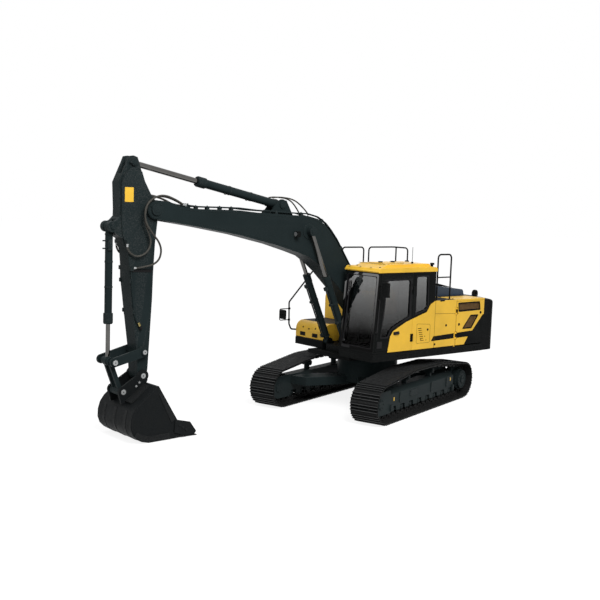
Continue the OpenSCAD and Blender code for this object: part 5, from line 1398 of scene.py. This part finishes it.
def build_boom():
    """The boom with its pins, bosses, lamp and steel pipes on clamps."""
    dressed("boom", "slate", 0.007)
    dressed("boom_lamp", "black", 0.010)
    bm = bmesh.new()
    line = [pipe_place(i) for i in range(len(PIPE_LINE))]
    end, way = line[-1], (line[-1] - line[-2]).normalized()
    for y in PIPE_ROWS:
        add_tube(bm, bent([at(p.x, y, p.y) for p in line], 0.25, 4), 0.013, 12)
        add_lathe(bm, at(end.x - 0.035 * way.x, y, end.y - 0.035 * way.y), at(end.x, y, end.y),
                  [(0, 0.019), (0.1, 0.021), (0.9, 0.021), (1, 0.019)], 6)
    for i, share in CLAMPS:
        spot = pipe_frame(i, share)
        for side in (1, -1):
            for half, low, high in ((0.028, 0.0005, 0.030), (0.024, 0.031, 0.058)):
                add_box(bm, (-half, side * 0.145, low), (half, side * BOOM_FACE, high), spot)
            add_bolt(bm, spot(0, side * 0.183, 0.058), spot(0, 0, 1) - spot(0, 0, 0), 0.010, 0.010)
    spot = pipe_frame(0, 0)
    for side in (1, -1):
        add_box(bm, (-0.05, side * 0.138, 0.0), (0.02, side * 0.218, 0.070), spot)
        for y in (.163, .203):
            add_lathe(bm, spot(0.018, side * y, PIPE_LIFT), spot(0.045, side * y, PIPE_LIFT),
                      [(0, 0.022), (1, 0.022)], 6)
    piece("boom_pipe_run", bm, "boom_body", ["slate"], ["boom_pipes"], round_by=0.002)

    bm = bmesh.new()
    (tip_x, tip_z), (rod_x, rod_z) = ARM_PIVOT, BOOM_PINS[1]
    for side in (1, -1):
        face = side * BOOM_FACE
        add_pin(bm, ARM_PIVOT, side * 0.2438, 0.056, 0.100, 0)
        add_disc(bm, at(tip_x, face, tip_z), at(tip_x, side * BOSS_FACE, tip_z), 0.150, 0.142, 40, 0.7)
        add_lathe(bm, at(rod_x, face, rod_z), at(rod_x, side * 0.2435, rod_z),
                  [(0, 0.155), (0.6, 0.150), (1, 0.105)], 40)
        add_bar(bm, at(rod_x, side * 0.21, rod_z), at(rod_x, side * 0.378, rod_z), 0.045, 24)
        add_pin(bm, BOOM_PINS[1], side * 0.357, 0.046, 0.088, 0)
        add_pin(bm, ARM_PINS[0], side * 0.1418, 0.046, 0.070, 0)
        for a in (0.5, 2.4):
            add_bolt(bm, at(tip_x + 0.12 * math.cos(a), side * BOSS_FACE, tip_z + 0.12 * math.sin(a)),
                     Vector((0, side, 0)), 0.014)
        for points in BOOM_WELDS:
            add_tube(bm, smooth_line([at(x, side * 0.2195, z) for x, z in points], 3), 0.0045, 6)
        for x, z in ((3.05, 3.62), (3.05, 3.80)):
            add_lathe(bm, at(x, face, z), at(x, side * 0.2225, z), [(0, 0.012), (1, 0.009)], 12)
    add_box(bm, (4.70, -0.10, 4.03), (4.86, 0.10, 4.085))
    for y in (-0.07, 0, 0.07):
        add_disc(bm, at(4.74, y, 4.08), at(4.74, y, 4.115), 0.018, 0.014, 6)
    piece("boom_trim", bm, "boom_body", ["slate", "pin steel"])
    bm = bmesh.new()
    add_disc(bm, at(2.369, 0.2745, 3.586), at(2.3745, 0.2745, 3.586), 0.044, 0.038, 28)
    piece("boom_lamp_lens", bm, "boom_body", ["lamp lens"])

    for side, label in ((1, "left"), (-1, "right")):
        line = smooth_line([at(x, side * y, z) for x, y, z in CYLINDER_HOSE], 7)
        loose_hose("arm_cylinder_hose_" + label, line, 0.014)


def build_arm():
    """The arm with its pins, ports, couplings and bare plate, and the bucket linkage."""
    dress("slate", rocker_links=0.008, power_link=0.008)
    bm = solid_of("arm")
    crest = [e for e in bm.edges if min(v.co.z for v in e.verts) > 4.77
             and (e.verts[0].co - e.verts[1].co).xz.length < 1e-4]
    bmesh.ops.bevel(bm, geom=crest, offset=0.035, offset_type="OFFSET", segments=4, profile=0.5, affect="EDGES",
                    clamp_overlap=True)
    piece("arm.dressed", bm, "arm_body", ["slate"], ["arm"], 0.007)
    bm = bmesh.new()
    for side in (1, -1):
        y = side * 0.155
        add_pin(bm, (5.682, 1.526), side * LINK_FACE, 0.040, 0.060)
        add_pin(bm, ARM_PINS[1], side * 0.1408, 0.045, 0.060, 0)
        add_prism(bm, rounded([(5.845, 4.76), (5.965, 4.765), (5.965, 4.805), (5.845, 4.80)], 0.018), side * 0.150,
                  side * 0.158)
        for x, z in ((5.92, 2.76), (5.85, 2.23)):
            add_prism(bm, plate(x - 0.03, z - 0.035, x + 0.03, z + 0.035, 0.01), y - side * 0.002, y + side * 0.035)
            add_bolt(bm, at(x, y + side * 0.035, z), Vector((0, side, 0)), 0.012)
        add_tube(bm, [at(5.925, side * 0.182, 2.945), at(5.922, side * 0.182, 2.79)], 0.011, 12)
        for points in ARM_PIPES:
            add_tube(bm, smooth_line([at(x, side * out, z) for x, out, z in points], 4), 0.011, 12)
        for x, z, r, low, high in ((6.191, 3.77, 0.022, 0.139, 0.143), (6.026, 3.72, 0.016, 0.154, 0.158),
                                   (5.92, 4.42, 0.015, 0.154, 0.158)):
            add_disc(bm, at(x, side * low, z), at(x, side * high, z), r, r * 0.8, 18)
        add_tube(bm, smooth_line([at(x, side * 0.1525, z) for x, z in ARM_WELD], 4), 0.006, 6)
        for a, b in (((5.52, 3.35), (5.49, 2.90)), ((5.49, 2.90), (5.515, 2.44)), ((5.515, 2.44), (5.555, 1.66)),
                     ((5.968, 3.25), (5.885, 2.43)), ((5.885, 2.43), (5.775, 1.62))):
            add_tube(bm, [at(a[0], side * ARM_FACE, a[1]), at(b[0], side * ARM_FACE, b[1])], 0.0045, 6)
    piece("arm_trim", bm, "arm_body", ["slate", "pin steel"])
    bm = bmesh.new()
    for side in (1, -1):
        for x, z in ((5.762, 2.018), (5.745, 1.985)):
            add_lathe(bm, at(x + 0.010, side * 0.186, z + 0.020), at(x - 0.006, side * 0.186, z - 0.012),
                      [(0, 0.020), (0.1, 0.023), (0.9, 0.023), (1, 0.020)], 6)
    piece("arm_couplings", bm, "arm_body", ["brass"])
    bm = bmesh.new()
    for side in (1, -1):
        add_lathe(bm, at(5.742, side * 0.186, 1.978), at(5.712, side * 0.186, 1.918),
                  [(0, 0.022), (0.15, 0.027), (0.85, 0.027), (1, 0.020)], 16)
        # Painted shadow: a black strip across the arm's side, z 2.905 to 2.955, where the hose above casts its shade.
        add_prism(bm, [(5.515, 2.905), (5.895, 2.915), (5.895, 2.955), (5.512, 2.955)], side * ARM_FACE, side * 0.160)
    piece("arm_caps_and_shadow_band", bm, "arm_body", ["window seal"], round_by=0.002)
    bm = bmesh.new()
    add_prism(bm, plate(5.887, 4.109, 6.055, 4.356, 0.012), ARM_FACE, ARM_FACE + 0.002)
    piece("arm_plate", bm, "arm_body", ["yellow"])
    bm = bmesh.new()
    for side in (1, -1):
        add_pin(bm, BUCKET_PINS[1], side * LINK_FACE, 0.046, 0.062)
    piece("rocker_pins", bm, "rocker", ["slate", "pin steel"])


def build_bucket():
    """The bucket with its teeth, side cutters, wear strips and pins."""
    dress("bucket steel", bucket=None, bucket_teeth=None)
    bm = bmesh.new()
    for side in (1, -1):
        add_pin(bm, (5.666, 1.100), side * EAR_FACE, 0.046, 0.072, 1, 0.002, 0.0018)
        add_pin(bm, (6.052, 0.851), side * EAR_FACE, 0.046, 0.066, 1, 0.002, 0.0018)
        for x, z in ((5.16, 0.24), (5.09, 0.19), (5.02, 0.14)):
            add_bolt(bm, at(x, side * 0.605, z), Vector((0, side, 0)), 0.022, 0.016)
        edge = [(5.30, 0.03), (5.75, 0.022), (5.89, 0.056), (5.975, 0.108), (6.055, 0.185), (6.095, 0.295),
                (6.09, 0.425), (6.052, 0.550), (5.985, 0.645), (5.89, 0.725), (5.76, 0.83), (5.63, 0.935)]
        add_tube(bm, smooth_line([at(x, side * 0.5795, z) for x, z in edge], 4), 0.007, 8)
        add_prism(bm, [(5.53, 0.86), (5.22, 0.355), (5.31, 0.30), (5.58, 0.83)], side * BUCKET_FACE, side * 0.590)
        wear = [(5.32, 0.012), (5.76, 0.006), (5.895, 0.038), (5.985, 0.093), (6.05, 0.155), (6.00, 0.22), (5.90, 0.16),
                (5.76, 0.12), (5.36, 0.13)]
        add_prism(bm, wear, side * BUCKET_FACE, side * 0.592)
        for x, z in ((5.80, 0.93), (5.74, 0.99)):
            add_disc(bm, at(x, side * 0.2048, z), at(x, side * 0.209, z), 0.020, 0.016, 16, index=1)
        web = [(6.02, 0.70), (5.83, 0.83), (5.66, 0.965), (5.64, 0.945), (5.81, 0.81), (6.0, 0.68)]
        add_prism(bm, web, side * 0.2045, side * 0.40)
    back = [(5.90, 0.03), (5.997, 0.086), (6.084, 0.172), (6.127, 0.289), (6.121, 0.432), (6.081, 0.563)]
    for y in (-0.36, 0.0, 0.36):
        add_prism(bm, back + [(x - 0.02, z + 0.004) for x, z in back][::-1], y - 0.04, y + 0.04)
    for y in (-1, -0.5, 0, 0.5, 1):
        place = y * 0.536
        add_prism(bm, [(4.995, 0.012), (5.11, 0.014), (5.14, 0.055), (5.06, 0.115), (4.985, 0.112)], place - 0.05,
                  place + 0.05)
        add_bar(bm, at(4.945, place - 0.048, 0.062), at(4.945, place + 0.048, 0.062), 0.012)
    piece("bucket_trim", bm, "bucket_body", ["bucket steel", "pin steel"], round_by=0.0025)


# Studio

# The camera fitted to the photograph: its place, its yaw from the diagonal, pitch and roll, and its lens
VIEW_FROM, VIEW_TURN = (14.0565, 14.1903, 4.189), (0.0797, 0.1031, 0.0348)
FOCAL_PIXELS, PICTURE_PIXELS, SENSOR = 936.18, 600, 36
LIT_PLACE = (1.5, 0, 1.5)


def build_studio():
    """The camera at the photograph's angle, a pale floor and soft light."""
    scene = bpy.context.scene
    yaw, pitch, roll = VIEW_TURN
    ahead, aside = math.cos(yaw) * math.cos(pitch), math.sin(yaw) * math.cos(pitch)
    side = math.sqrt(0.5)
    look = Vector((-ahead * side + aside * side, -ahead * side - aside * side, -math.sin(pitch))).normalized()
    right = look.cross(Vector((0, 0, 1))).normalized()
    up = right.cross(look)
    right, up = right * math.cos(roll) + up * math.sin(roll), up * math.cos(roll) - right * math.sin(roll)
    lens = bpy.data.cameras.new("Camera")
    lens.sensor_width = SENSOR
    lens.lens = FOCAL_PIXELS * SENSOR / PICTURE_PIXELS
    lens.clip_end = 400
    camera = bpy.data.objects.new("Camera", lens)
    scene.collection.objects.link(camera)
    camera.matrix_world = Matrix.Translation(at(*VIEW_FROM)) @ Matrix(
        (right, up, -look)).transposed().to_4x4()
    scene.camera = camera

    bm = bmesh.new()
    bmesh.ops.create_grid(bm, x_segments=2, y_segments=2, size=120)
    mesh = bpy.data.meshes.new("Floor")
    bm.to_mesh(mesh)
    bm.free()
    floor = bpy.data.objects.new("Floor", mesh)
    scene.collection.objects.link(floor)
    floor.location.z = -0.003
    material = bpy.data.materials.new("Pale floor")
    material.use_nodes = True
    tree = material.node_tree
    seen = seen_rays(tree)
    shader = tree.nodes["Principled BSDF"]
    shader.inputs["Base Color"].default_value = (0.26, 0.26, 0.26, 1)
    shader.inputs["Roughness"].default_value = 0.9
    shader.inputs["Specular IOR Level"].default_value = 0.0
    shader.inputs["Emission Color"].default_value = (1, 1, 1, 1)
    tree.links.new(maths(tree, "MULTIPLY", seen, 0.85), shader.inputs["Emission Strength"])
    mesh.materials.append(material)

    world = bpy.data.worlds.new("Studio")
    scene.world = world
    world.use_nodes = True
    tree = world.node_tree
    tree.nodes.clear()
    strength = ramp(tree, seen_rays(tree), 0.0, 1.0, 0.60, 1.0)
    sky = node(tree, "ShaderNodeBackground", {"Color": (1, 1, 1, 1), "Strength": strength})
    node(tree, "ShaderNodeOutputWorld", {0: sky.outputs[0]})

    for label, place, size, power in (("Key", (7, 13, 14), 8, 2700), ("Fill", (15, -1, 8), 9, 150)):
        lamp = bpy.data.lights.new(label, "AREA")
        lamp.size = size
        lamp.energy = power
        made = bpy.data.objects.new(label, lamp)
        scene.collection.objects.link(made)
        made.location = at(*place)
        made.rotation_euler = (at(*LIT_PLACE) - made.location).to_track_quat("-Z", "Y").to_euler()
    scene.view_settings.view_transform = "Standard"


def seen_rays(tree):
    """1 for rays from the camera and for mirror and glass rays, and 0 for light that falls on the object."""
    path = node(tree, "ShaderNodeLightPath").outputs
    return maths(tree, "MAXIMUM", path["Is Camera Ray"],
                 maths(tree, "MAXIMUM", path["Is Glossy Ray"], path["Is Transmission Ray"]))


# Add-on

class EXCAVATOR_OT_studio(bpy.types.Operator):
    """Sets the camera, floor and light"""
    bl_idname = "excavator.studio"
    bl_label = "Studio"

    def execute(self, context):
        build_studio()
        return {"FINISHED"}


class EXCAVATOR_OT_arm_hoses(bpy.types.Operator):
    """Builds the hoses from the boom to the arm"""
    bl_idname = "excavator.arm_hoses"
    bl_label = "Arm hoses"

    def execute(self, context):
        build_arm_hoses()
        return {"FINISHED"}


class EXCAVATOR_OT_boom(bpy.types.Operator):
    """Dresses the boom and its pipes"""
    bl_idname = "excavator.boom"
    bl_label = "Boom"

    def execute(self, context):
        build_boom()
        return {"FINISHED"}


class EXCAVATOR_OT_track_chains(bpy.types.Operator):
    """Builds both track chains"""
    bl_idname = "excavator.track_chains"
    bl_label = "Track chains"

    def execute(self, context):
        build_track_chains()
        return {"FINISHED"}


class EXCAVATOR_OT_running_gear(bpy.types.Operator):
    """Dresses frames, wheels and rollers"""
    bl_idname = "excavator.running_gear"
    bl_label = "Running gear"

    def execute(self, context):
        build_running_gear()
        return {"FINISHED"}


class EXCAVATOR_OT_upper_frame(bpy.types.Operator):
    """Dresses the main frame, counterweight and engine bay"""
    bl_idname = "excavator.upper_frame"
    bl_label = "Upper frame"

    def execute(self, context):
        build_upper_frame()
        return {"FINISHED"}


class EXCAVATOR_OT_side_panels(bpy.types.Operator):
    """Dresses the side panels and service doors"""
    bl_idname = "excavator.side_panels"
    bl_label = "Side panels"

    def execute(self, context):
        build_side_panels()
        return {"FINISHED"}


class EXCAVATOR_OT_hood_and_tanks(bpy.types.Operator):
    """Dresses the hood, tanks and tool box"""
    bl_idname = "excavator.hood_and_tanks"
    bl_label = "Hood and tanks"

    def execute(self, context):
        build_hood_and_tanks()
        return {"FINISHED"}


class EXCAVATOR_OT_rails(bpy.types.Operator):
    """Builds rails and mirrors"""
    bl_idname = "excavator.rails"
    bl_label = "Rails and mirrors"

    def execute(self, context):
        build_rails()
        return {"FINISHED"}


class EXCAVATOR_OT_cab_shell(bpy.types.Operator):
    """Dresses the cab's frame and roof"""
    bl_idname = "excavator.cab_shell"
    bl_label = "Cab shell"

    def execute(self, context):
        build_cab_shell()
        return {"FINISHED"}


class EXCAVATOR_OT_cab_glass(bpy.types.Operator):
    """Glazes the cab"""
    bl_idname = "excavator.cab_glass"
    bl_label = "Cab glass"

    def execute(self, context):
        build_cab_glass()
        return {"FINISHED"}


class EXCAVATOR_OT_cab_furniture(bpy.types.Operator):
    """Furnishes the cab"""
    bl_idname = "excavator.cab_furniture"
    bl_label = "Cab furniture"

    def execute(self, context):
        build_cab_furniture()
        return {"FINISHED"}


class EXCAVATOR_OT_cylinders(bpy.types.Operator):
    """Dresses the hydraulic cylinders"""
    bl_idname = "excavator.cylinders"
    bl_label = "Cylinders"

    def execute(self, context):
        build_cylinders()
        return {"FINISHED"}


class EXCAVATOR_OT_arm(bpy.types.Operator):
    """Dresses the arm and the bucket linkage"""
    bl_idname = "excavator.arm"
    bl_label = "Arm and linkage"

    def execute(self, context):
        build_arm()
        return {"FINISHED"}


class EXCAVATOR_OT_bucket(bpy.types.Operator):
    """Dresses the bucket and its teeth"""
    bl_idname = "excavator.bucket"
    bl_label = "Bucket"

    def execute(self, context):
        build_bucket()
        return {"FINISHED"}


STEPS = [EXCAVATOR_OT_studio, EXCAVATOR_OT_arm_hoses, EXCAVATOR_OT_boom, EXCAVATOR_OT_track_chains,
         EXCAVATOR_OT_running_gear, EXCAVATOR_OT_upper_frame, EXCAVATOR_OT_side_panels, EXCAVATOR_OT_hood_and_tanks,
         EXCAVATOR_OT_rails, EXCAVATOR_OT_cab_shell, EXCAVATOR_OT_cab_glass, EXCAVATOR_OT_cab_furniture,
         EXCAVATOR_OT_cylinders, EXCAVATOR_OT_arm, EXCAVATOR_OT_bucket]


class EXCAVATOR_PT_panel(bpy.types.Panel):
    """Lists the sizes, colours and steps of the excavator."""

    bl_label = "Excavator"
    bl_idname = "EXCAVATOR_PT_panel"
    bl_space_type = "VIEW_3D"
    bl_region_type = "UI"
    bl_category = "Excavator"

    def draw(self, context):
        for holder in (context.scene.excavator_sizes, context.scene.excavator_colours):
            for key in holder.__annotations__:
                self.layout.prop(holder, key)
        for step in STEPS:
            self.layout.operator(step.bl_idname)


CLASSES = [ExcavatorSizes, ExcavatorColours, *STEPS, EXCAVATOR_PT_panel]


def register():
    for item in CLASSES:
        bpy.utils.register_class(item)
    bpy.types.Scene.excavator_sizes = bpy.props.PointerProperty(type=ExcavatorSizes)
    bpy.types.Scene.excavator_colours = bpy.props.PointerProperty(type=ExcavatorColours)


def unregister():
    del bpy.types.Scene.excavator_colours
    del bpy.types.Scene.excavator_sizes
    for item in reversed(CLASSES):
        bpy.utils.unregister_class(item)


def main():
    """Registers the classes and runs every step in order."""
    register()
    make_finishes()
    for step in STEPS:
        getattr(bpy.ops.excavator, step.bl_idname.split(".")[1])()


if __name__ == "__main__":
    main()
